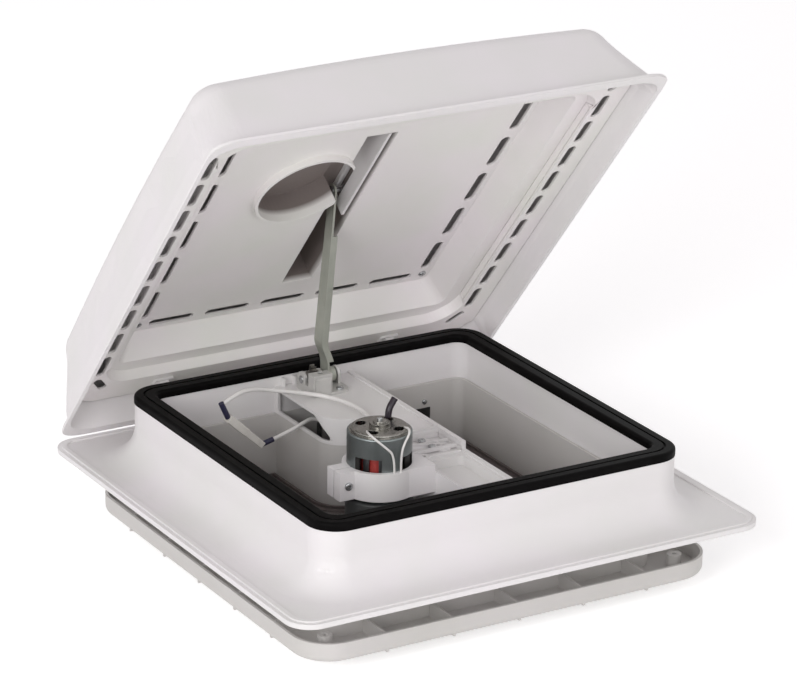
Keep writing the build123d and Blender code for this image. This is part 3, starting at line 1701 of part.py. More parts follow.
with BuildPart() as switch_rocker:
    rocker_half = switch_w / 2 - switch_wall - rocker_gap
    with BuildSketch(Plane.XZ.offset(-switch_y - switch_h / 2 + switch_wall + rocker_gap)) as side_form:
        with Locations((switch_x, rocker_pivot)):
            Circle(rocker_radius)
        with BuildLine():
            Polyline(
                (switch_x - rocker_half + rocker_gap, rocker_pivot),
                (switch_x - rocker_half + rocker_gap, rocker_pivot - 2 * rocker_drop),
                (switch_x, rocker_pivot - rocker_drop),
                (switch_x + rocker_half - rocker_gap, rocker_pivot - 2 * rocker_drop),
                (switch_x + rocker_half - rocker_gap, rocker_pivot),
                close=True,
            )
        make_face()
    extrude(side_form.sketch, amount=switch_h - 2 * switch_wall - 2 * rocker_gap)
    with Locations(Location((switch_x, switch_y, rocker_pivot), (90, 0, 0))):
        Cylinder(rocker_pin_radius, switch_h - switch_wall - rocker_gap)
switch_rocker.part.label = "switch_rocker"
export_step(switch_rocker.part, "parts/switch_rocker.step")

# Cover and screw on the rear wall of the opening
with BuildPart() as port_cover:
    block(port_left, port_right, collar_inner - port_thick, collar_inner, port_low, port_high)
port_cover.part.label = "port_cover"
export_step(port_cover.part, "parts/port_cover.step")

with BuildPart() as port_screw:
    with Locations(Location((port_screw_x, collar_inner - port_screw_high / 2, port_screw_z), (90, 0, 0))):
        Cylinder(port_screw_radius, port_screw_high)
    with Locations((port_screw_x, collar_inner - port_screw_high, port_screw_z)):
        Box(port_screw_radius, port_screw_high / 2, port_screw_radius / 3, mode=Mode.SUBTRACT)
port_screw.part.label = "port_screw"
export_step(port_screw.part, "parts/port_screw.step")

# Wiring: the loop from the bridge, its sleeve, the connector, and the tail into the column.
loop_part, loop_radii, loop_length = bent_tube(cable_points, cable_diameter)
print(
    "loop cable radii",
    [round(r, 1) for r in loop_radii],
    "length",
    round(loop_length, 1),
    loop_part.volume,
)
loop_part.label = "loop_cable"
export_step(loop_part, "parts/loop_cable.step")

tail_part, tail_radii, tail_length = bent_tube(tail_points, tail_diameter)
print(
    "tail cable radii",
    [round(r, 1) for r in tail_radii],
    "length",
    round(tail_length, 1),
    tail_part.volume,
)
tail_part.label = "tail_cable"
export_step(tail_part, "parts/tail_cable.step")

left_lead, left_radii, left_length = bent_tube(lead_left_points, lead_diameter)
right_lead, right_radii, right_length = bent_tube(lead_right_points, lead_diameter)
print(
    "lead radii",
    [round(r, 1) for r in left_radii],
    [round(r, 1) for r in right_radii],
    left_length,
    right_length,
)
leads = Compound(children=[left_lead, right_lead])
leads.label = "motor_leads"
export_step(leads, "parts/motor_leads.step")

shrink_part, shrink_radii, shrink_length = bent_tube(shrink_points, shrink_diameter)
print("sleeve radii", [round(r, 1) for r in shrink_radii], "length", round(shrink_length, 1))
shrink_part.label = "heat_shrink_sleeve"
export_step(shrink_part, "parts/heat_shrink_sleeve.step")

crimp_part = straight_tube(crimp_start, crimp_end, crimp_diameter)
crimp_part.label = "crimp_sleeve"
export_step(crimp_part, "parts/crimp_sleeve.step")

sleeve_part = straight_tube(sleeve_start, sleeve_end, sleeve_diameter)
sleeve_part.label = "lead_sleeve"
export_step(sleeve_part, "parts/lead_sleeve.step")


def connector_half(first, last, width, depth):
    """One half of the connector, a block along the wires' line."""
    along = Vector(last) - Vector(first)
    with BuildPart() as half_block:
        with BuildSketch(Plane(origin=first, x_dir=(0, 1, 0), z_dir=along)):
            RectangleRounded(depth, width, depth / 6)
        extrude(amount=along.length)
    return half_block.part


plug_part = connector_half(connector_start, connector_mid, connector_plug_width, connector_plug_depth)
plug_part.label = "connector_plug"
export_step(plug_part, "parts/connector_plug.step")
socket_part = connector_half(connector_mid, connector_end, connector_width, connector_depth)
socket_part.label = "connector_socket"
export_step(socket_part, "parts/connector_socket.step")
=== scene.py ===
# %% [markdown]
# # A caravan roof vent, dressed in Blender
# The vent sits in a square hole in a caravan's roof. Its lid swings up on a hinge behind,
# held by a steel strip arm, and a bridge across the opening carries a small fan motor.
# The shapes come from the CAD frame, already in metres and in place. This lesson gives them
# their finishes. It makes what is too soft, too fine or too often repeated for CAD, which is
# the wires, the screws and the insect mesh, and it reshapes copies of a few solids.

# %% Load the frame
import math

import bmesh
import bpy
from mathutils import Matrix, Vector


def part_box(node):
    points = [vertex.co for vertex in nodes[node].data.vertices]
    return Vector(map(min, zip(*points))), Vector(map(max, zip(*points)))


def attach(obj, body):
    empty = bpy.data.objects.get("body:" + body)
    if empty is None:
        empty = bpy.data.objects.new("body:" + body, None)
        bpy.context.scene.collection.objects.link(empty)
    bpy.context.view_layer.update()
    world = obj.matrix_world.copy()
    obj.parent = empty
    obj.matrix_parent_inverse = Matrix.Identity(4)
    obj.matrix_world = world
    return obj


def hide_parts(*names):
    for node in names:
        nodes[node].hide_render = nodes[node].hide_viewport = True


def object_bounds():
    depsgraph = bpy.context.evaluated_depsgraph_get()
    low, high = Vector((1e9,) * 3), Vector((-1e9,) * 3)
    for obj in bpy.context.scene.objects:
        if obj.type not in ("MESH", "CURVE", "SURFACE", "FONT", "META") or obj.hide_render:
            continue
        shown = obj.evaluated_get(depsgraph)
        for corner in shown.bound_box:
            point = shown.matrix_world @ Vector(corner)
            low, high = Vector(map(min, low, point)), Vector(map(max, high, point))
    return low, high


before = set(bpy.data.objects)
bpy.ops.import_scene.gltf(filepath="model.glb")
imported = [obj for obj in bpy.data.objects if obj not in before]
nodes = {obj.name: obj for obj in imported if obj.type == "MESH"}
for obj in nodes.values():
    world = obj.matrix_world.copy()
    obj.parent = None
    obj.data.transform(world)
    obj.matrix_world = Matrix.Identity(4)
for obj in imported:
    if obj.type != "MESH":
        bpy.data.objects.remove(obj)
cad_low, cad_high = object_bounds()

print("CAD nodes:", len(nodes), "box in mm:", [round(1000 * (b - a), 1) for a, b in zip(cad_low, cad_high)])

# %% [markdown]
# ## Millimetres and colours
# The vent's sizes are known in millimetres, and Blender works in metres, so one small
# function turns points over. Colours are written as they look on a screen, in sRGB hex, and
# the shader wants linear light, so a second function turns those.

# %% Units
MM = 0.001


def metres(*values):
    return tuple(MM * v for v in values)


def linear(code):
    """An sRGB hex colour as linear red, green, blue and alpha."""
    parts = [int(code[i:i + 2], 16) / 255 for i in (1, 3, 5)]
    return (*[c / 12.92 if c <= 0.04045 else ((c + 0.055) / 1.055) ** 2.4 for c in parts], 1.0)


print("white ABS in linear light:", [round(c, 3) for c in linear("#e8e6e6")])

# %% [markdown]
# ## The camera
# The photograph looks down at the vent from its front left corner with a long lens, so the
# edges hardly converge. The camera's place, its turn and its slight roll were fitted to
# edges of the vent in the photograph. The image is taken as 797 by 684 pixels.

# %% Camera
IMAGE_WIDTH = 797
IMAGE_HEIGHT = 684
focal_pixels = 3794.9
image_middle = (397.1, 341.6)
sensor_mm = 36.0
camera_roll = math.radians(0.82)
camera_at = Vector((-1.7418, -2.9077, 1.3934))
camera_back = Vector((-0.4813, -0.8059, 0.3448)).normalized()


def linked(name, data):
    """A new object with this data, linked to the scene."""
    made = bpy.data.objects.new(name, data)
    bpy.context.scene.collection.objects.link(made)
    return made


level_right = Vector((0, 0, 1)).cross(camera_back).normalized()
level_up = camera_back.cross(level_right)
camera_right = math.cos(camera_roll) * level_right + math.sin(camera_roll) * level_up
camera_up = -math.sin(camera_roll) * level_right + math.cos(camera_roll) * level_up

lens = bpy.data.cameras.new("photo_camera")
lens.sensor_width = sensor_mm
lens.lens = focal_pixels / IMAGE_WIDTH * sensor_mm
lens.shift_x = (IMAGE_WIDTH / 2 - image_middle[0]) / IMAGE_WIDTH
lens.shift_y = (image_middle[1] - IMAGE_HEIGHT / 2) / IMAGE_WIDTH
lens.clip_end = 100.0
camera = linked("photo_camera", lens)
turn = Matrix((camera_right, camera_up, camera_back)).transposed().to_4x4()
camera.matrix_world = Matrix.Translation(camera_at) @ turn
bpy.context.scene.camera = camera
print("lens", round(lens.lens, 1), "mm, shift", round(lens.shift_x, 4), round(lens.shift_y, 4))

# %% [markdown]
# ## Helpers for shader nodes
# A procedural material is a small network. The first function adds one node, with its
# settings, its plain input values and its links, so that each finish below reads as a short
# list. The others are the steps that come back in every finish: a sum, a change of range, a
# mix of two colours and a noise.

# %% Node helpers


def add(tree, kind, inputs=None, **settings):
    """A new node in tree. inputs maps a socket to a value, or to another node's output."""
    made = tree.nodes.new(kind)
    for name, value in settings.items():
        setattr(made, name, value)
    for socket, value in (inputs or {}).items():
        if isinstance(value, bpy.types.NodeSocket):
            tree.links.new(value, made.inputs[socket])
        else:
            made.inputs[socket].default_value = value
    return made


def new_material(name):
    """An empty node material, its tree and its output node."""
    made = bpy.data.materials.new(name)
    made.use_nodes = True
    made.node_tree.nodes.clear()
    return made, made.node_tree, add(made.node_tree, "ShaderNodeOutputMaterial")


def maths(tree, operation, *values):
    """One step of the Math node, on numbers or outputs."""
    return add(tree, "ShaderNodeMath", dict(enumerate(values)), operation=operation).outputs["Value"]


def mapped(tree, value, low, high, to_low=0.0, to_high=1.0):
    """A value that runs from low to high, made to run from to_low to to_high."""
    limits = {"From Min": low, "From Max": high, "To Min": to_low, "To Max": to_high}
    return add(tree, "ShaderNodeMapRange", {"Value": value, **limits}).outputs["Result"]


def mixed(tree, factor, first, second):
    """Two colours mixed by a factor. The Mix node has them at 6 and 7, and its result at 2."""
    made = add(tree, "ShaderNodeMix", {"Factor": factor, 6: first, 7: second}, data_type="RGBA")
    return made.outputs[2]


def noise(tree, place, size_mm, detail):
    """A noise whose features are about this large."""
    made = add(tree, "ShaderNodeTexNoise", {"Vector": place, "Scale": 1 / (size_mm * MM), "Detail": detail})
    return made.outputs["Fac"]


print("node helpers ready")

# %% [markdown]
# ## Moulded and rubbed surfaces
# Almost everything on the vent is injection moulded. Such a surface has a fine grain from
# the mould, a slow drift in shade where the melt cooled unevenly, and edges that are never
# quite sharp and get rubbed first. One recipe covers them all: two colours mixed by a slow
# noise, a worn colour along the edges, a fine noise as bump, and roughness that varies a
# little. A Bevel node rounds the edges in the shading, and how far it turns the normal
# tells where the edges are.

# %% Edge mask
edge_flat = 0.995  # the two normals agree this much where no edge is near
edge_sharp = 0.86  # and this much on the edge itself


def edge_mask(tree, radius_mm):
    """Rounded normals, and a mask that is 1 along the edges."""
    rounded = add(tree, "ShaderNodeBevel", {"Radius": radius_mm * MM}, samples=4).outputs["Normal"]
    flat = add(tree, "ShaderNodeNewGeometry").outputs["Normal"]
    agree = add(tree, "ShaderNodeVectorMath", {0: rounded, 1: flat}, operation="DOT_PRODUCT")
    return rounded, mapped(tree, agree.outputs["Value"], edge_flat, edge_sharp)


print("edges count as rubbed where the normals agree by less than", edge_flat)

# %% Finish recipe
noise_low = 0.3  # a noise seldom leaves this range
noise_high = 0.7
scuff_mm = 9.0
wear = 0.5  # how much of the worn colour shows where an edge is rubbed most


def surface(
    name,
    colours,
    worn,
    roughness,
    grain_mm,
    grain_depth_mm,
    drift_mm=60.0,
    metallic=0.0,
    ior=1.5,
    edge_mm=0.6,
    stretch=(1.0, 1.0, 1.0),
    rough_spread=0.06,
    specular=0.5,
    deep=None,
):
    """A moulded, cast, rolled or drawn surface. Sizes are in millimetres.
    deep paints shade by a mask: a function of the tree and the place, and the shade's colour."""
    made, tree, output = new_material(name)
    place = add(tree, "ShaderNodeTexCoord").outputs["Object"]
    level = mapped(tree, noise(tree, place, drift_mm, detail=3.0), noise_low, noise_high)
    colour = mixed(tree, level, linear(colours[0]), linear(colours[1]))
    rounded, mask = edge_mask(tree, edge_mm)
    rubbed = maths(tree, "MULTIPLY", mask, noise(tree, place, scuff_mm, detail=4.0))
    colour = mixed(tree, maths(tree, "MULTIPLY", rubbed, wear), colour, linear(worn))
    if deep:
        painted_shade_at, painted_shade_colour = deep
        colour = mixed(tree, painted_shade_at(tree, place), colour, linear(painted_shade_colour))
    grained = add(tree, "ShaderNodeMapping", {"Vector": place, "Scale": stretch}).outputs["Vector"]
    grain = noise(tree, grained, grain_mm, detail=2.0)
    rough = mapped(tree, grain, noise_low, noise_high, roughness - rough_spread, roughness + rough_spread)
    bump = add(
        tree,
        "ShaderNodeBump",
        {"Height": grain, "Normal": rounded, "Distance": grain_depth_mm * MM, "Strength": 1.0},
    )
    shader = add(
        tree,
        "ShaderNodeBsdfPrincipled",
        {
            "Base Color": colour,
            "Roughness": rough,
            "Normal": bump.outputs["Normal"],
            "Metallic": metallic,
            "IOR": ior,
            "Specular IOR Level": specular,
        },
    )
    tree.links.new(shader.outputs["BSDF"], output.inputs["Surface"])
    return made


print("surface recipe ready")

# %% [markdown]
# ## The lid's own frame
# The lid is modelled as it stands, open by 49.9 degrees. A place on it is easier to say
# across, back from its middle, and in depth from its rim, so one function turns that into
# the row's frame. The same directions give a shader how deep a point lies in the lid.

# %% Lid frame
LID_OPEN = math.radians(49.9)
hinge_y = 223.3
hinge_z = 27.0
middle_y = -3.0  # of the closed lid
rim_z = 34.5  # of the closed lid
hinge_line = Vector(metres(0, hinge_y, hinge_z))
lid_middle = middle_y - hinge_y
rim_over_hinge = rim_z - hinge_z
lid_out = Vector((0, math.sin(LID_OPEN), math.cos(LID_OPEN)))
lid_back = Vector((0, math.cos(LID_OPEN), -math.sin(LID_OPEN)))
# Painted shade on the liner: it starts at this depth, is full at the next, and reaches this share of its
# colour.
painted_shade_from = 60.4  # in mm from the rim
painted_shade_full = 67.0
painted_shade_most = 0.93
recess_middle = (-55.0, -54.5, 84.0)


def on_lid(x, v, depth):
    """A point of the open lid: across, back from the lid's middle, and depth, in mm."""
    across = Vector((x, 0, 0))
    return hinge_line + MM * (across + (v + lid_middle) * lid_back + (depth + rim_over_hinge) * lid_out)


def lid_place(point):
    """The other way round: a point in metres as across, back and depth, in mm."""
    off = (Vector(point) - hinge_line) / MM
    return off.x, off.dot(lid_back) - lid_middle, off.dot(lid_out) - rim_over_hinge


def lid_deep_shade(tree, place):
    """A mask of painted shade that grows from the liner's panel into its recess and channel."""
    depth = add(tree, "ShaderNodeVectorMath", {0: place, 1: tuple(lid_out)}, operation="DOT_PRODUCT")
    rim = hinge_line.dot(lid_out) + rim_over_hinge * MM
    return mapped(tree, depth.outputs["Value"], rim + painted_shade_from * MM, rim + painted_shade_full * MM, 0.0, painted_shade_most)


print("recess centre in mm:", [round(v / MM, 1) for v in on_lid(*recess_middle)])

# %% [markdown]
# ## The plastics
# The big white mouldings are ABS, which has a satin skin, and the photograph shows it with
# a faint warm and a faint green drift. The grain is the mould's spark finish, about a
# quarter of a millimetre, drawn at 0.8 mm so that it can show at all. The ceiling trim is
# a darker copy, painted shade for where it lies under the flange, and the lid's liner has
# painted shade where it lies deep. The fan and the screen's rim are glass-filled nylon:
# darker, with short fibres near the skin. The connector is clear-white nylon, the wires
# have a soft PVC sheath, and the sleeves are polyolefin.

# %% Plastics
white_abs = surface(
    "abs_white_moulded", ("#e9e5e7", "#e4e3e1"), worn="#f4f3f2", roughness=0.42, grain_mm=0.8,
    grain_depth_mm=0.01, drift_mm=90.0, ior=1.53, edge_mm=0.9,
)
# The trim is a darker copy of the white ABS: painted shade for where it lies under the flange.
shaded_trim_abs = surface(
    "abs_white_trim_painted_shade", ("#cfccca", "#c9c7c3"), worn="#e2e0de", roughness=0.45, grain_mm=0.8,
    grain_depth_mm=0.01, drift_mm=90.0, ior=1.53, edge_mm=0.9,
)
# The liner turns #6f6460 where it lies deep in the lid: painted shade in its recess and channel.
liner_abs = surface(
    "abs_white_vacuum_formed", ("#f0eaec", "#e9eae3"), worn="#f4f2f1", roughness=0.38,
    grain_mm=1.4, grain_depth_mm=0.02, drift_mm=110.0, ior=1.53, edge_mm=0.9,
    deep=(lid_deep_shade, "#6f6460"),
)
dark_nylon = surface(
    "nylon_dark_glass_filled", ("#434546", "#4a4c4c"), worn="#6a6c6c", roughness=0.5,
    grain_mm=0.5, grain_depth_mm=0.02, drift_mm=18.0, ior=1.53,
)
rim_nylon = surface(
    "nylon_brown_screen_rim", ("#5d5453", "#655d5b"), worn="#8c8482", roughness=0.45,
    grain_mm=0.5, grain_depth_mm=0.015, drift_mm=30.0, ior=1.53,
)
black_plastic = surface(
    "polypropylene_black", ("#1b1a1a", "#232222"), worn="#454444", roughness=0.4, grain_mm=0.4,
    grain_depth_mm=0.015, drift_mm=12.0, ior=1.49,
)
clear_nylon = surface(
    "nylon_natural_connector", ("#e2dfd9", "#d9d6cf"), worn="#f0eeea", roughness=0.35,
    grain_mm=0.5, grain_depth_mm=0.01, drift_mm=8.0, ior=1.53, edge_mm=0.4,
)
cord_pvc = surface(
    "pvc_white_sheath", ("#e6e4e2", "#dddbd8"), worn="#efedeb", roughness=0.32, grain_mm=0.9,
    grain_depth_mm=0.02, drift_mm=25.0, ior=1.53, edge_mm=0.2,
)
blue_sleeve = surface(
    "polyolefin_blue_sleeve", ("#25253f", "#2e2c44"), worn="#4a4a60", roughness=0.35,
    grain_mm=0.8, grain_depth_mm=0.04, drift_mm=5.0, ior=1.49, edge_mm=0.3,
)
purple_sleeve = surface(
    "polyolefin_purple_sleeve", ("#180d1a", "#241722"), worn="#40303c", roughness=0.34,
    grain_mm=1.1, grain_depth_mm=0.06, drift_mm=5.0, ior=1.49, edge_mm=0.3,
)
print("plastics:", len(bpy.data.materials))

# %% [markdown]
# ## The rubber
# The seal is extruded EPDM with two soft bulbs side by side. Rubber isn't quite black: it
# has a bloom that turns it a little grey, and the extruder leaves it smooth enough for a
# soft highlight along each bulb.

# %% Rubber
seal_rubber = surface(
    "epdm_black_extruded", ("#060505", "#0b0a0a"), worn="#1c1b1b", roughness=0.5, grain_mm=0.6,
    grain_depth_mm=0.02, drift_mm=14.0, ior=1.52, specular=0.05,
)
print("rubber:", seal_rubber.name)

# %% [markdown]
# ## The metals
# The arm is rolled strip with a dull zinc plating, so its grain runs along it and its colour
# is a greenish grey. The motor's can is drawn from tinned sheet and shines more. The end
# cap and the arm's bracket are die-cast zinc, and the screws and shafts are bright plated
# steel. A rolled or drawn grain is the same noise, squeezed along one axis.

# %% Metals
arm_steel = surface(
    "steel_strip_zinc_plated", ("#9fa298", "#adafa5"), worn="#d0d1cb", roughness=0.42,
    grain_mm=0.9, grain_depth_mm=0.006, drift_mm=26.0, metallic=0.3, stretch=(1.0, 0.08, 0.08),
)
can_steel = surface(
    "steel_can_tin_plated", ("#7d8383", "#8b9191"), worn="#b9baba", roughness=0.38,
    grain_mm=0.9, grain_depth_mm=0.0006, drift_mm=22.0, metallic=1.0, stretch=(1.0, 1.0, 0.08),
    rough_spread=0.03,
)
cap_zinc = surface(
    "zinc_die_cast_polished", ("#96938e", "#85837e"), worn="#d8d7d4", roughness=0.24,
    grain_mm=1.2, grain_depth_mm=0.02, drift_mm=12.0, metallic=1.0,
)
bracket_zinc = surface(
    "zinc_die_cast_satin", ("#d3d2cf", "#c8c7c4"), worn="#e4e3e0", roughness=0.36, grain_mm=0.8,
    grain_depth_mm=0.02, drift_mm=12.0, metallic=0.4,
)
bright_steel = surface(
    "steel_bright_zinc", ("#b9babb", "#a7a9ab"), worn="#dededd", roughness=0.24, grain_mm=0.6,
    grain_depth_mm=0.006, drift_mm=6.0, metallic=1.0, edge_mm=0.3,
)
gear_steel = surface(
    "steel_gear_oiled", ("#8e8b84", "#7c7973"), worn="#c0beb8", roughness=0.3, grain_mm=0.5,
    grain_depth_mm=0.01, drift_mm=6.0, metallic=1.0, edge_mm=0.25,
)
core_steel = surface(
    "steel_core_laminated", ("#6f7072", "#5f6062"), worn="#9a9a9a", roughness=0.42,
    grain_mm=0.6, grain_depth_mm=0.05, drift_mm=9.0, metallic=0.9, stretch=(0.05, 0.05, 1.0),
    edge_mm=0.25,
)
magnet_ferrite = surface(
    "ferrite_magnet_sintered", ("#33322f", "#2a2927"), worn="#55534e", roughness=0.6,
    grain_mm=0.5, grain_depth_mm=0.02, drift_mm=7.0, ior=1.9,
)
commutator_copper = surface(
    "copper_commutator_turned", ("#b9714c", "#a5623f"), worn="#d9a184", roughness=0.3,
    grain_mm=0.4, grain_depth_mm=0.02, drift_mm=4.0, metallic=1.0, stretch=(0.1, 0.1, 1.0),
    edge_mm=0.2,
)
print("materials so far:", len(bpy.data.materials))

# %% [markdown]
# ## The winding
# The rotor is wound with enamelled copper wire about half a millimetre thick, and its red
# enamel shows through the can's window. A wave texture with one band for each turn lies on
# the solid that stands for the bundle. The bands are coarser than the real wire, because
# bands as fine as that wouldn't show. Each band runs from dark red to bright red: painted
# shade in the grooves between turns and a painted highlight on their crowns.

# %% Winding enamel
turn_pitch_mm = 0.9
turn_depth_mm = 0.25
bands_scale = 1 / (math.pi * turn_pitch_mm * MM)  # the texture has about 3.2 bands per unit of scale
winding_enamel, winding_tree, winding_output = new_material("copper_red_enamelled")
winding_place = add(winding_tree, "ShaderNodeTexCoord").outputs["Object"]
winding_turns_and_shade = add(
    winding_tree,
    "ShaderNodeTexWave",
    {"Vector": winding_place, "Scale": bands_scale, "Distortion": 1.5, "Detail": 1.0},
    bands_direction="Z",
).outputs["Fac"]
winding_bump = add(
    winding_tree,
    "ShaderNodeBump",
    {"Height": winding_turns_and_shade, "Distance": turn_depth_mm * MM, "Strength": 1.0},
)
# The colour follows the bands: dark red is painted shade between the turns, bright red a painted highlight on
# them.
winding_shader = add(
    winding_tree,
    "ShaderNodeBsdfPrincipled",
    {
        "Base Color": mixed(winding_tree, winding_turns_and_shade, linear("#7c1a18"), linear("#dc4a42")),
        "Normal": winding_bump.outputs["Normal"],
        "Roughness": 0.3,
        "Metallic": 0.2,
        "Coat Weight": 0.4,
    },
)
winding_tree.links.new(winding_shader.outputs["BSDF"], winding_output.inputs["Surface"])
print("winding:", winding_enamel.name)

# %% [markdown]
# ## Dressing the CAD nodes
# Each CAD node keeps its own mesh, and only its material slot changes. A table says which
# node has which finish.

# %% Dress the nodes
finishes = {
    white_abs: ("roof_base", "motor_bridge", "motor_clamp", "lid_dome", "lid_hinge_lugs", "arm_guide"),
    shaded_trim_abs: ("ceiling_trim",),
    liner_abs: ("lid_liner",),
    seal_rubber: ("rim_seal",),
    rim_nylon: ("screen_frame", "screen_mesh"),
    dark_nylon: ("fan_impeller", "crank_knob"),
    black_plastic: ("switch_body", "switch_rocker", "port_cover"),
    clear_nylon: ("connector_plug", "connector_socket"),
    cord_pvc: ("loop_cable", "tail_cable", "motor_leads"),
    blue_sleeve: ("crimp_sleeve", "lead_sleeve"),
    purple_sleeve: ("heat_shrink_sleeve",),
    arm_steel: ("lift_arm",),
    can_steel: ("motor_can",),
    cap_zinc: ("motor_end_cap",),
    bracket_zinc: ("lift_housing",),
    bright_steel: (
        "bridge_screws",
        "clamp_screw",
        "housing_screws",
        "hinge_pins",
        "port_screw",
        "liner_screws",
        "guide_screws",
        "arm_end_pin",
        "pivot_shaft",
        "motor_shaft",
        "fan_nut",
        "crank_shaft",
    ),
    gear_steel: ("sector_gear", "lift_worm"),
    core_steel: ("rotor_core",),
    magnet_ferrite: ("motor_magnets",),
    winding_enamel: ("rotor_winding",),
    commutator_copper: ("commutator",),
}
for finish, names in finishes.items():
    for name in names:
        nodes[name].data.materials.clear()
        nodes[name].data.materials.append(finish)
dressed = {name for names in finishes.values() for name in names}
print("dressed:", len(dressed), "left over:", sorted(set(nodes) - dressed))

# %% [markdown]
# ## The wires
# Four thin wires hang free in the opening. A wire is stiff enough to make smooth arcs and too
# soft to make corners, so each is one NURBS curve of order 3, whose control points are the
# route. The curve stays inside the route's corners, as a real wire does.

# %% Wire helper


def wire(name, points, diameter_mm, finish):
    """A round wire along a smooth curve. Points are in millimetres."""
    line = bpy.data.curves.new(name, "CURVE")
    line.dimensions = "3D"
    line.resolution_u = 12
    line.bevel_depth = diameter_mm / 2 * MM
    line.bevel_resolution = 5
    line.use_fill_caps = True
    spline = line.splines.new("NURBS")
    spline.points.add(len(points) - 1)
    for point, at in zip(spline.points, points):
        point.co = (*metres(*at), 1.0)
    spline.order_u = 3
    spline.use_endpoint_u = True
    line.materials.append(finish)
    return linked(name, line)


print("wire helper ready")

# %% [markdown]
# ## Where the wires run
# The loop cable comes off the bridge and bends round to the connector at the left, and the
# tail cable goes on from there and down beside the bridge. Two short leads go from the
# motor's cap over its front. The points are given over the photograph, and are
# the same as in the CAD.

# %% Routes
loop_route = (
    (-12.0, 24.0, 54.2),
    (-3.0, 50.0, 54.4),
    (-1.5, 90.0, 55.0),
    (-19.0, 123.0, 56.5),
    (-66.0, 137.0, 65.0),
    (-93.6, 130.0, 73.7),
    (-113.0, 125.0, 72.7),
    (-130.0, 120.0, 67.2),
)
tail_route = (
    (-74.5, 120.0, 20.5),
    (-57.0, 120.0, 25.0),
    (-38.0, 121.0, 31.5),
    (-26.0, 124.0, 33.5),
    (-10.0, 118.0, 24.0),
    (0.0, 108.0, 4.0),
    (7.0, 95.0, -16.0),
    (8.0, 92.0, -40.0),
)
lead_left_route = (
    (-74.0, -62.0, 92.0),
    (-79.5, -73.5, 95.4),
    (-78.0, -84.6, 92.5),
    (-68.5, -88.9, 83.5),
    (-60.2, -90.4, 75.0),
    (-60.2, -90.4, 57.5),
)
lead_right_route = (
    (-38.0, -70.0, 92.0),
    (-38.5, -80.0, 95.4),
    (-42.5, -87.4, 92.0),
    (-49.5, -90.2, 85.0),
    (-53.2, -90.6, 75.0),
    (-53.2, -90.6, 57.5),
)
print("route points:", [len(r) for r in (loop_route, tail_route, lead_left_route, lead_right_route)])

# %% Lay the wires
loop_wire = wire("loop_cable_sheath", loop_route, diameter_mm=4.4, finish=cord_pvc)
tail_wire = wire("tail_cable_sheath", tail_route, diameter_mm=4.0, finish=cord_pvc)
lead_left = wire("motor_lead_left", lead_left_route, diameter_mm=2.2, finish=cord_pvc)
lead_right = wire("motor_lead_right", lead_right_route, diameter_mm=2.2, finish=cord_pvc)
for made in (loop_wire, tail_wire, lead_left, lead_right):
    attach(made, "base")
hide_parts("loop_cable")
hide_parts("tail_cable")
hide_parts("motor_leads")
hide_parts("motor_leads")
print("wires:", [o.name for o in (loop_wire, tail_wire, lead_left, lead_right)])

# %% [markdown]
# ## From a shape to a piece
# What is modelled point by point is made with bmesh and ends as a plain mesh. A piece is
# such a mesh on an object at the origin. It rides on a body of the vent, so that it moves
# with it, and the node that it stands for is hidden.

# %% Mesh helpers


def as_mesh(name, work):
    """Turns a bmesh into a mesh and frees it."""
    mesh = bpy.data.meshes.new(name)
    work.to_mesh(mesh)
    work.free()
    return mesh


def evaluated(made):
    """The mesh that an object has after its modifiers."""
    bpy.context.view_layer.update()
    return bpy.data.meshes.new_from_object(made.evaluated_get(bpy.context.evaluated_depsgraph_get()))


def piece(name, mesh, body, node):
    """A piece of the vent with this mesh, which rides on body and stands for a CAD node."""
    made = linked(name, mesh)
    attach(made, body)
    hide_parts(node)
    print(name, "has", len(mesh.polygons), "faces")
    return made


print("mesh helpers ready")

# %% [markdown]
# ## Growing what repeats
# Geometry Nodes make what repeats. The tree's modifier is evaluated once on a mesh of bare
# points, its result is kept as the mesh of a piece, and the helper object goes.

# %% Tree helpers


def new_tree(name, sockets):
    """A Geometry Nodes tree with these named inputs, its input node and its output node."""
    tree = bpy.data.node_groups.new(name, "GeometryNodeTree")
    tree.interface.new_socket("Geometry", in_out="INPUT", socket_type="NodeSocketGeometry")
    tree.interface.new_socket("Geometry", in_out="OUTPUT", socket_type="NodeSocketGeometry")
    for label, kind in sockets:
        tree.interface.new_socket(label, in_out="INPUT", socket_type=kind)
    return tree, add(tree, "NodeGroupInput"), add(tree, "NodeGroupOutput")


def end_tree(tree, given, result, placed):
    """Makes the tree's instances real, gives them its finish and ends it there."""
    real = add(tree, "GeometryNodeRealizeInstances", {"Geometry": placed.outputs["Instances"]})
    dressing = {"Geometry": real.outputs["Geometry"], "Material": given.outputs["Finish"]}
    finished = add(tree, "GeometryNodeSetMaterial", dressing)
    tree.links.new(finished.outputs["Geometry"], result.inputs["Geometry"])
    print(tree.name, "has", len(tree.nodes), "nodes")


def grown(name, seed_mesh, tree, values, body, node):
    """Runs a tree on seed_mesh and keeps the result as a plain mesh that rides on body."""
    source = linked(name + "_source", seed_mesh)
    modifier = source.modifiers.new("grow", "NODES")
    modifier.node_group = tree
    sockets = {s.name: s.identifier for s in tree.interface.items_tree if s.in_out == "INPUT"}
    for label, value in values.items():
        modifier[sockets[label]] = value
    mesh = evaluated(source)
    mesh.name = name
    source.modifiers.remove(modifier)
    bpy.data.objects.remove(source)
    return piece(name, mesh, body, node)


def point_mesh(name, points):
    """A mesh of bare points, given in metres."""
    mesh = bpy.data.meshes.new(name)
    mesh.from_pydata([tuple(p) for p in points], [], [])
    return mesh


print("tree helpers ready")

# %% [markdown]
# ## One screw head
# Every screw on the vent is the same kind: a round pan head with a cross recess. The real
# recess is punched, so its four wings slope in to a point. One head is turned from a
# profile with a radius of one, and the cross is cut out of it.

# %% One screw head
head_sides = 28
dome_steps = 6
rim_high = 0.3
dome_high = 0.32


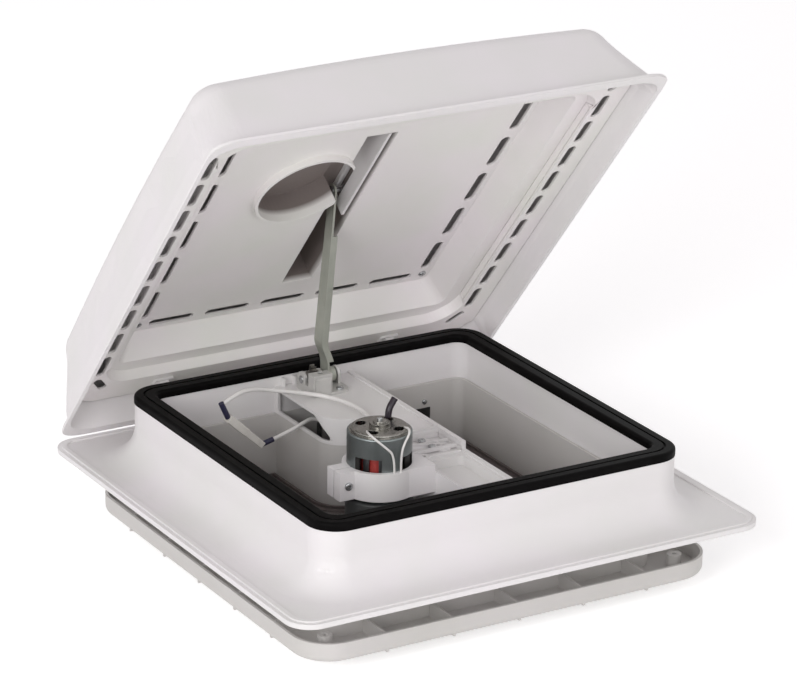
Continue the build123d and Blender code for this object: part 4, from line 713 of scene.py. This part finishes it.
def turned(profile, sides):
    """A closed mesh turned about Z from (radius, height) points, from the axis to the axis."""
    work = bmesh.new()
    rings = []
    for radius, height in profile:
        if radius == 0:
            rings.append([work.verts.new((0, 0, height))])
        else:
            angles = [2 * math.pi * i / sides for i in range(sides)]
            places = [(radius * math.cos(a), radius * math.sin(a), height) for a in angles]
            rings.append([work.verts.new(place) for place in places])
    for low, high in zip(rings, rings[1:]):
        for i in range(sides):
            j = (i + 1) % sides
            corners = [low[i % len(low)], low[j % len(low)], high[j % len(high)], high[i % len(high)]]
            work.faces.new(list(dict.fromkeys(corners)))
    bmesh.ops.recalc_face_normals(work, faces=work.faces)
    return work


dome_turns = [math.pi / 2 * i / dome_steps for i in range(dome_steps)]
dome = [(math.cos(t), rim_high + dome_high * math.sin(t)) for t in dome_turns]
head_profile = [(0, 0), (1, 0), *dome, (0, rim_high + dome_high)]
head = linked("pan_head", as_mesh("pan_head", turned(head_profile, head_sides)))
print("plain head faces:", len(head.data.polygons))

# %% Cross recess
wing_long = 0.52
wing_wide = 0.1
wing_narrows = 0.45
wing_middle = 0.47
wing_deep = 0.25
cross_work = bmesh.new()
for half_x, half_y in ((wing_long, wing_wide), (wing_wide, wing_long)):
    for corner in bmesh.ops.create_cube(cross_work, size=2.0)["verts"]:
        x, y, z = corner.co
        narrow = 1.0 if z > 0 else wing_narrows
        corner.co = Vector((x * half_x * narrow, y * half_y * narrow, wing_middle + wing_deep * z))
cross = linked("cross_recess", as_mesh("cross_recess", cross_work))
cut = head.modifiers.new("cut", "BOOLEAN")
cut.object = cross
cut.operation = "DIFFERENCE"
cut.solver = "EXACT"
cut.use_self = True
recessed = linked("pan_head_recessed", evaluated(head))
bpy.data.objects.remove(head)
bpy.data.objects.remove(cross)
print("screw head faces:", len(recessed.data.polygons))

# %% [markdown]
# ## A tree that sets screws
# The tree puts a head and its shank on each point that it gets, square to the seat. Each
# screw is turned by a different angle, because nobody lines screws up.

# %% Screw shape
shank_sides = 14
screw_tree, given, result = new_tree(
    "set_screws",
    (
        ("Head", "NodeSocketObject"),
        ("Head radius", "NodeSocketFloat"),
        ("Shank radius", "NodeSocketFloat"),
        ("Shank length", "NodeSocketFloat"),
        ("Axis", "NodeSocketVector"),
        ("Seed", "NodeSocketInt"),
        ("Finish", "NodeSocketMaterial"),
    ),
)
head_shape = add(screw_tree, "GeometryNodeObjectInfo", {"Object": given.outputs["Head"]})
head_sized = add(
    screw_tree,
    "GeometryNodeTransform",
    {"Geometry": head_shape.outputs["Geometry"], "Scale": given.outputs["Head radius"]},
)
shank_radius = given.outputs["Shank radius"]
shank_length = given.outputs["Shank length"]
shank = add(
    screw_tree,
    "GeometryNodeMeshCylinder",
    {"Vertices": shank_sides, "Radius": shank_radius, "Depth": shank_length},
)
half_down = maths(screw_tree, "MULTIPLY", shank_length, -0.5)
down = add(screw_tree, "ShaderNodeCombineXYZ", {"Z": half_down})
shank_set = add(
    screw_tree,
    "GeometryNodeTransform",
    {"Geometry": shank.outputs["Mesh"], "Translation": down.outputs["Vector"]},
)
one_screw = add(screw_tree, "GeometryNodeJoinGeometry", {"Geometry": head_sized.outputs["Geometry"]})
screw_tree.links.new(shank_set.outputs["Geometry"], one_screw.inputs["Geometry"])
print("screw shape nodes:", len(screw_tree.nodes))

# %% Place the screws
seats = add(screw_tree, "GeometryNodeMeshToPoints", {"Mesh": given.outputs["Geometry"]})
stand = add(screw_tree, "FunctionNodeAlignRotationToVector", {"Vector": given.outputs["Axis"]}, axis="Z")
spin = add(
    screw_tree,
    "FunctionNodeRandomValue",
    {2: 0.0, 3: math.pi / 2, "Seed": given.outputs["Seed"]},
    data_type="FLOAT",
)
spun = add(screw_tree, "FunctionNodeAxisAngleToRotation", {"Axis": (0, 0, 1), "Angle": spin.outputs[1]})
turned_seat = add(
    screw_tree,
    "FunctionNodeRotateRotation",
    {"Rotation": stand.outputs["Rotation"], "Rotate By": spun.outputs["Rotation"]},
    rotation_space="LOCAL",
)
placed = add(
    screw_tree,
    "GeometryNodeInstanceOnPoints",
    {
        "Points": seats.outputs["Points"],
        "Instance": one_screw.outputs["Geometry"],
        "Rotation": turned_seat.outputs["Rotation"],
    },
)
end_tree(screw_tree, given, result, placed)

# %% [markdown]
# ## Where the screws sit
# The upright ones stand on the bridge and the bracket. The clamp's screw and the port's screw lie
# level and point to the front. The liner's screws stand square to the open lid, so their
# places are given in the lid's own frame, across, back from its middle and depth, and
# turned by the lid's angle.

# %% Set the screws
up = (0.0, 0.0, 1.0)
front = (0.0, -1.0, 0.0)
into_room = tuple(-lid_out)
bridge_at = [Vector(metres(*p)) for p in ((18.4, -8.9, 46.0), (19.9, -26.0, 46.0), (-8, -57.3, 46.0))]
housing_at = [Vector(metres(*p)) for p in ((-12, 166.5, 53.5), (8, 167.5, 53.5), (10, 135, 53.5))]
clamp_at = [Vector(metres(-97.1, -69, 43.5))]
port_at = [Vector(metres(131.6, 173.5, 4.0))]
panel_depth = 60.0
panel_ends = (-163, 163)
liner_at = [on_lid(x, v, panel_depth) for x in panel_ends for v in panel_ends]
guide_x = 17.5
guide_depth = 88.5
guide_at = [on_lid(guide_x, v, guide_depth) for v in (-110, -70)]
first_seed = 3
# Node, places, head radius, shank radius and shank length in mm, axis and body
screw_sets = (
    ("bridge_screws", bridge_at, 4.0, 2.6, 6.0, up, "base"),
    ("housing_screws", housing_at, 3.6, 1.8, 9.0, up, "base"),
    ("clamp_screw", clamp_at, 4.0, 2.0, 16.0, front, "base"),
    ("port_screw", port_at, 2.8, 1.2, 1.2, front, "base"),
    ("liner_screws", liner_at, 4.0, 2.2, 16.0, into_room, "lid"),
    ("guide_screws", guide_at, 2.3, 1.5, 5.0, into_room, "lid"),
)
for seed, (node, places, head_mm, shank_mm, long_mm, axis, body) in enumerate(screw_sets, first_seed):
    values = {
        "Head": recessed,
        "Head radius": head_mm * MM,
        "Shank radius": shank_mm * MM,
        "Shank length": long_mm * MM,
        "Axis": axis,
        "Seed": seed,
        "Finish": bright_steel,
    }
    name = node + "_set"
    made = grown(name, point_mesh(name + "_seats", places), screw_tree, values, body, node)
    made.data.shade_flat()
bpy.data.objects.remove(recessed)

# %% [markdown]
# ## The insect mesh
# The screen is woven from thin dark threads. Each thread is a long, four-sided bar, set on
# a point by a tree and stretched to the length that its point carries.

# %% Thread tree
thread_tree, given, result = new_tree(
    "lay_threads",
    (("Width", "NodeSocketFloat"), ("Along", "NodeSocketVector"), ("Finish", "NodeSocketMaterial")),
)
span = add(thread_tree, "GeometryNodeInputNamedAttribute", {"Name": "thread_length"}, data_type="FLOAT")
bar = add(thread_tree, "GeometryNodeMeshCube", {"Size": (1.0, 1.0, 1.0)})
stretch_to = add(
    thread_tree,
    "ShaderNodeCombineXYZ",
    {"X": span.outputs["Attribute"], "Y": given.outputs["Width"], "Z": given.outputs["Width"]},
)
lie = add(thread_tree, "FunctionNodeAlignRotationToVector", {"Vector": given.outputs["Along"]}, axis="X")
starts = add(thread_tree, "GeometryNodeMeshToPoints", {"Mesh": given.outputs["Geometry"]})
laid = add(
    thread_tree,
    "GeometryNodeInstanceOnPoints",
    {
        "Points": starts.outputs["Points"],
        "Instance": bar.outputs["Mesh"],
        "Rotation": lie.outputs["Rotation"],
        "Scale": stretch_to.outputs["Vector"],
    },
)
end_tree(thread_tree, given, result, laid)

# %% [markdown]
# ## Where the threads lie
# A thread lies every 1.5 mm, each way. Threads that meet the control column end at it. Its
# corners are round, so a thread beside a corner is found from the arc of that corner.

# %% Lay the threads
thread_pitch = 1.5
thread_wide = 0.42  # a real thread is 0.28 mm, and is drawn a little wider so that the weave shows
column_left = -41.5 * MM
column_right = 49.5 * MM
column_front = 62.5 * MM
column_turn = 26.0 * MM
mesh_low, mesh_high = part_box("screen_mesh")
mesh_mid_z = (mesh_low.z + mesh_high.z) / 2


def corner_swell(into):
    """How far the column's rounded corner stands back from its face, this far into the corner."""
    left = column_turn - min(into, column_turn)
    return column_turn - math.sqrt(max(column_turn**2 - left**2, 0))


def clear_of_column(at, along_x):
    """The free lengths of a thread at this distance, as (start, end) pairs."""
    low, high = (mesh_low.x, mesh_high.x) if along_x else (mesh_low.y, mesh_high.y)
    if along_x:
        if at <= column_front:
            return [(low, high)]
        swell = corner_swell(at - column_front)
        return [(low, column_left + swell), (column_right - swell, high)]
    if at <= column_left or at >= column_right:
        return [(low, high)]
    return [(low, column_front + corner_swell(min(at - column_left, column_right - at)))]


def thread_points(name, along_x):
    """The middles of the threads that run one way, with their lengths."""
    low, high = (mesh_low.y, mesh_high.y) if along_x else (mesh_low.x, mesh_high.x)
    middles, lengths = [], []
    for i in range(1, int((high - low) / (thread_pitch * MM))):
        at = low + i * thread_pitch * MM
        for start, end in clear_of_column(at, along_x):
            middle = (start + end) / 2
            middles.append((middle, at, mesh_mid_z) if along_x else (at, middle, mesh_mid_z))
            lengths.append(end - start)
    mesh = point_mesh(name, middles)
    mesh.attributes.new("thread_length", "FLOAT", "POINT").data.foreach_set("value", lengths)
    return mesh


for name, along_x in (("screen_threads_across", True), ("screen_threads_deep", False)):
    values = {
        "Width": thread_wide * MM,
        "Along": (1.0, 0.0, 0.0) if along_x else (0.0, 1.0, 0.0),
        "Finish": rim_nylon,
    }
    places = thread_points(name + "_points", along_x)
    grown(name, places, thread_tree, values, "base", "screen_mesh")

# %% [markdown]
# ## Reshaped copies
# Some mouldings and the strip are a little different in the photograph from the frame's
# solids, and a short rule can say how. A copy of the frame's mesh is merged first, because
# its triangles are loose. Planes cut it where the rule needs edges, then the rule moves its
# points, and the copy stands for the node. Small parts that the frame lacks are boxes with
# rounded edges.

# %% Copy helpers
merge_mm = 0.002


def copied(name, node, body, move=None, cuts=()):
    """A merged copy of a CAD node whose points a function moves. cuts are (point, normal) planes."""
    work = bmesh.new()
    work.from_mesh(nodes[node].data)
    bmesh.ops.remove_doubles(work, verts=work.verts, dist=merge_mm * MM)
    for point, normal in cuts:
        everything = [*work.verts, *work.edges, *work.faces]
        bmesh.ops.bisect_plane(work, geom=everything, plane_co=metres(*point), plane_no=normal)
    if move:
        for vert in work.verts:
            vert.co = move(vert.co)
    mesh = as_mesh(name, work)
    mesh.materials.append(nodes[node].data.materials[0])
    piece(name, mesh, body, node)
    mesh.shade_flat()


def boxes(name, node, finish, corners, round_mm, round_steps):
    """Boxes with rounded edges on the base, each between two corners in mm, for part of a node."""
    work = bmesh.new()
    for low, high in corners:
        for vert in bmesh.ops.create_cube(work, size=1.0)["verts"]:
            vert.co = metres(*[a + (c + 0.5) * (b - a) for c, a, b in zip(vert.co, low, high)])
    bmesh.ops.bevel(work, geom=work.edges[:], offset=round_mm * MM, segments=round_steps, affect="EDGES")
    mesh = as_mesh(name, work)
    mesh.materials.append(finish)
    piece(name, mesh, "base", node)


def held(value):
    """A value held between 0 and 1."""
    return min(max(value, 0.0), 1.0)


def eased(value):
    """The same, but it leaves 0 and reaches 1 softly."""
    step = held(value)
    return step * step * (3 - 2 * step)


print("copy helpers ready, merging within", merge_mm, "mm")

# %% [markdown]
# ## The bridge
# Towards the front, the bridge's top lies 8 mm lower than in the frame, and a rail stays
# along its right edge. Two low ribs run across it and a short one joins them. The step is a
# rule that lowers points, and planes on both sides of each edge keep the step steep.

# %% Bridge
bridge_top = 52.5
bridge_low = 44.5
under_top = 46.0  # what lies below this stays
tray_x = -14.9
rail_x = 43.0
rail_end_y = -42.0
step_y = 1.0
step_half = 0.2
rib_foot = 43.5
rib_top = 47.9
short_rib_top = 47.0
rib_half = 1.2
rib_left = -12.0
rib_right = 43.4
front_rib_y = -32.0
back_rib_y = -17.0
short_rib_x = 29.2


def stepped(point):
    """In front, the bridge's top lies lower, and a rail stays along its right edge."""
    x, y, z = point / MM
    if x < tray_x or y > step_y or z < under_top:
        return point
    z = min(z, bridge_top)
    rail = x > rail_x - step_half / 2 and y > rail_end_y
    return Vector(metres(x, y, z if rail else z - (bridge_top - bridge_low)))


step_sides = [y + side for y in (step_y, rail_end_y) for side in (-step_half, step_half)]
bridge_cuts = [((0, y, 0), (0, 1, 0)) for y in step_sides]
bridge_cuts += [((rail_x - side, 0, 0), (1, 0, 0)) for side in (step_half, step_half / 4)]
copied("bridge_moulding", "motor_bridge", "base", stepped, bridge_cuts)
ribs = []
for y in (back_rib_y, front_rib_y):
    ribs.append(((rib_left, y - rib_half, rib_foot), (rib_right, y + rib_half, rib_top)))
short_low = (short_rib_x - rib_half, front_rib_y + rib_half, rib_foot)
short_high = (short_rib_x + rib_half, back_rib_y - rib_half, short_rib_top)
ribs.append((short_low, short_high))
boxes("bridge_ribs", "motor_bridge", white_abs, ribs, round_mm=0.5, round_steps=2)

# %% [markdown]
# ## The rotor
# The motor's rotor is a stack of steel sheets with slots, and the winding lies in them. The
# photograph shows much of its red through the can's window, so the slots are opened: points
# near a slot's middle turn away from it, and the poles between the slots get narrower.

# %% Rotor
slot_count = 8
slot_pitch = 2 * math.pi / slot_count
slot_half = 1.5
slot_opening = 3.2
slot_widest = math.radians(18.5)
wall_slack = 0.002  # in radians, so that a slot's walls count as part of it
inner_radius = 9.0
motor_axis = Vector(metres(-57.0, -57.0, 0.0))


def opened(point):
    """The rotor's slots are wider than in the frame, so that its red winding shows between the poles."""
    off = point - motor_axis
    radius = math.hypot(off.x, off.y)
    if radius < inner_radius * MM:
        return point
    angle = math.atan2(off.y, off.x)
    middle = round(angle / slot_pitch) * slot_pitch
    half = math.asin(slot_half * MM / radius)
    wide = min(slot_opening * half, slot_widest)
    away = abs(angle - middle)
    if away < half + wall_slack:
        away = away * wide / half
    else:
        away = wide + (away - half) * (slot_pitch / 2 - wide) / (slot_pitch / 2 - half)
    angle = middle + math.copysign(away, angle - middle)
    return Vector((motor_axis.x + radius * math.cos(angle), motor_axis.y + radius * math.sin(angle), point.z))


copied("rotor_stack", "rotor_core", "fan", opened)
copied("rotor_coils", "rotor_winding", "fan", opened)

# %% [markdown]
# ## The connector and the cords
# The connector is narrower across than the frame's, so both its halves are made slimmer.
# Then the point where each of the four wires leaves the vent is printed.

# %% Connector and cords
connector_across = Vector((17.5, 0.0, 18.5)).normalized()
connector_at = Vector(metres(-104.9, 120.0, 35.0))
connector_slimming = 0.42


def slimmer(point):
    """The connector is narrower across than the frame's."""
    off = point - connector_at
    return point - connector_slimming * off.dot(connector_across) * connector_across


copied("connector_plug_body", "connector_plug", "base", slimmer)
copied("connector_socket_body", "connector_socket", "base", slimmer)
leaves = [route[0] for route in (loop_route, tail_route, lead_left_route, lead_right_route)]
print("cords leave at, in mm:", leaves)

# %% [markdown]
# ## The lid's liner
# The photograph shows a row of slots at the left of the lid that the frame's lip hides. The
# outer rows of the liner move in a little, and its edge moves out to meet the dome.

# %% Lid liner
row_inner = 205.0
row_outer = 221.0
row_in = 3.5
land_from = 226.0
land_out = 5.0
row_depth = 28.0


def rows_in(point):
    """The outer rows of slots lie a little further in, where the lid's lip leaves them in sight."""
    x, v, depth = lid_place(point)
    if row_inner < abs(x) < row_outer and depth < row_depth:
        return on_lid(x - math.copysign(row_in, x), v, depth)
    if abs(x) > land_from and depth < row_depth:
        return on_lid(x + math.copysign(land_out, x), v, depth)
    return point


copied("lid_liner_sheet", "lid_liner", "lid", rows_in)

# %% [markdown]
# ## The lid's dome
# The side walls of the dome meet its lip further out, which opens the view of the same
# slots. The points move by a soft step, so that the crowned wall stays smooth.

# %% Lid dome
flare_from = 205.0
flare_run = 25.0
flare_out = 7.0
flare_depth = 60.0
flare_rise = 46.0
lip_from = 235.5
lip_wide = 7.5
lip_stays = 0.8


def flared(point):
    """The lid's side walls meet its lip further out, which opens the view of the outer slots."""
    x, v, depth = lid_place(point)
    wide = abs(x)
    if wide < flare_from or depth > flare_depth:
        return point
    out = flare_out * eased((wide - flare_from) / flare_run) * held((flare_depth - depth) / flare_rise)
    out *= 1 - lip_stays * held((wide - lip_from) / lip_wide)
    return on_lid(x + math.copysign(out, x), v, depth)


copied("lid_dome_shell", "lid_dome", "lid", flared)

# %% [markdown]
# ## The bracket
# The frame's bracket has a window where its worm shows, and the photograph shows a closed
# wall there. The bracket is kept as it is, and a thin shield closes the window.

# %% Bracket
shield_low = (-20.0, 128.6, 51.0)
shield_high = (-2.5, 131.2, 70.5)
shield = [(shield_low, shield_high)]
copied("lift_bracket", "lift_housing", "base")
boxes("lift_bracket_shield", "lift_housing", bracket_zinc, shield, round_mm=1.2, round_steps=3)

# %% [markdown]
# ## The arm
# The strip of the arm isn't straight: it steps to the left above its foot and comes back
# towards its tip. The frame's strip has long faces without points between them, so planes
# cut it into short lengths where the step lies.

# %% Arm strip
pivot = Vector(metres(0, 156.0, 62.0))
arm_lean = math.radians(86.2)
arm_way = Vector((0, -math.cos(arm_lean), math.sin(arm_lean)))
arm_reach = 197.0
arm_bow = 7.0
bow_from = 12.0
bow_run = 26.0
tip_even = 6.0
cut_places = range(10, 44, 3)  # in mm from the pivot


def bowed(point):
    """The strip steps to the left above its foot and comes back evenly towards its tip."""
    along = (point - pivot).dot(arm_way) / MM
    step = eased((along - bow_from) / bow_run)
    to_tip = arm_reach - tip_even - along
    back = held(to_tip / (arm_reach - tip_even - bow_from - bow_run))
    return point - Vector((arm_bow * MM * step * back, 0, 0))


arm_cuts = [(tuple((pivot + along * MM * arm_way) / MM), arm_way) for along in cut_places]
copied("lift_arm_strip", "lift_arm", "arm", bowed, arm_cuts)

# %% [markdown]
# ## The arm's guide
# The guide is a white plate in the lid's channel. The photograph shows its web reach down
# to the liner's panel, so every point of the web's edge moves there.

# %% Arm guide
web_edge = 73.0
web_foot = 60.5


def taller(point):
    """The guide's web reaches down to the liner's panel."""
    x, v, depth = lid_place(point)
    return on_lid(x, v, web_foot) if depth < web_edge else point


copied("arm_guide_plate", "arm_guide", "lid", taller)

# %% [markdown]
# ## The floor
# The photograph was taken in soft, even studio light on white. A pale matt floor throws soft
# light back from below. It glows a little, and a little more where the camera sees it, so
# that it is as white as the photograph's background.

# %% Floor
floor_gap = 0.5 * MM
floor_z = cad_low.z - floor_gap
floor_half = 30.0
glow_everywhere = 0.26
glow_seen = 0.1
floor_mesh = bpy.data.meshes.new("studio_floor")
corners = [(x * floor_half, y * floor_half, floor_z) for x, y in ((-1, -1), (1, -1), (1, 1), (-1, 1))]
floor_mesh.from_pydata(corners, [], [(0, 1, 2, 3)])
floor = linked("studio_floor", floor_mesh)

floor_paper, floor_tree, floor_output = new_material("paper_backdrop_white")
camera_sees = add(floor_tree, "ShaderNodeLightPath").outputs["Is Camera Ray"]
floor_matt = add(floor_tree, "ShaderNodeBsdfDiffuse", {"Color": linear("#f6f6f6"), "Roughness": 1.0})
floor_lift = maths(floor_tree, "MULTIPLY_ADD", camera_sees, glow_seen, glow_everywhere)
floor_glow = add(floor_tree, "ShaderNodeEmission", {"Strength": floor_lift})
floor_sum = add(
    floor_tree,
    "ShaderNodeAddShader",
    {0: floor_matt.outputs["BSDF"], 1: floor_glow.outputs["Emission"]},
)
floor_tree.links.new(floor_sum.outputs["Shader"], floor_output.inputs["Surface"])
floor_mesh.materials.append(floor_paper)
print("floor at", round(floor_z / MM, 1), "mm")

# %% [markdown]
# ## Sky and lamps
# The sky gives the even part of the light, from all round. A large lamp at the left gives
# the shapes their slow shading, one in front lightens what faces the camera, and a faint
# one hangs above. Seen straight, mirrored or through something clear, the sky is plain
# white, as a studio's walls are.

# %% Sky and lamps
sky_strength = 0.6
sky = bpy.data.worlds.new("studio_sky")
bpy.context.scene.world = sky
sky.use_nodes = True
sky_tree = sky.node_tree
sky_tree.nodes.clear()
sky_path = add(sky_tree, "ShaderNodeLightPath")
seen = maths(sky_tree, "MAXIMUM", sky_path.outputs["Is Camera Ray"], sky_path.outputs["Is Glossy Ray"])
seen = maths(sky_tree, "MAXIMUM", seen, sky_path.outputs["Is Transmission Ray"])
sky_light = add(sky_tree, "ShaderNodeBackground", {"Color": linear("#faf6f8"), "Strength": sky_strength})
sky_shown = add(sky_tree, "ShaderNodeBackground", {"Color": linear("#fdfdfd"), "Strength": 1.0})
sky_mix = add(
    sky_tree,
    "ShaderNodeMixShader",
    {0: seen, 1: sky_light.outputs["Background"], 2: sky_shown.outputs["Background"]},
)
add(sky_tree, "ShaderNodeOutputWorld", {"Surface": sky_mix.outputs["Shader"]})

lamps_aim = Vector((0, 0, 0.1))
# Name, place and diameter in metres, and watts
lamps = (
    ("left_softbox", (-2.6, -1.7, 1.2), 1.7, 40.0),
    ("top_softbox", (-0.3, -0.6, 3.0), 2.2, 1.0),
    ("front_softbox", (-0.4, -3.2, 0.8), 2.2, 17.0),
)
for name, at, wide, watts in lamps:
    lamp = bpy.data.lights.new(name, "AREA")
    lamp.shape = "DISK"
    lamp.size = wide
    lamp.energy = watts
    made = linked(name, lamp)
    made.location = at
    made.rotation_mode = "QUATERNION"
    made.rotation_quaternion = (lamps_aim - Vector(at)).to_track_quat("-Z", "Y")
bpy.context.scene.view_settings.view_transform = "Standard"
print("lamps:", [name for name, *_ in lamps])
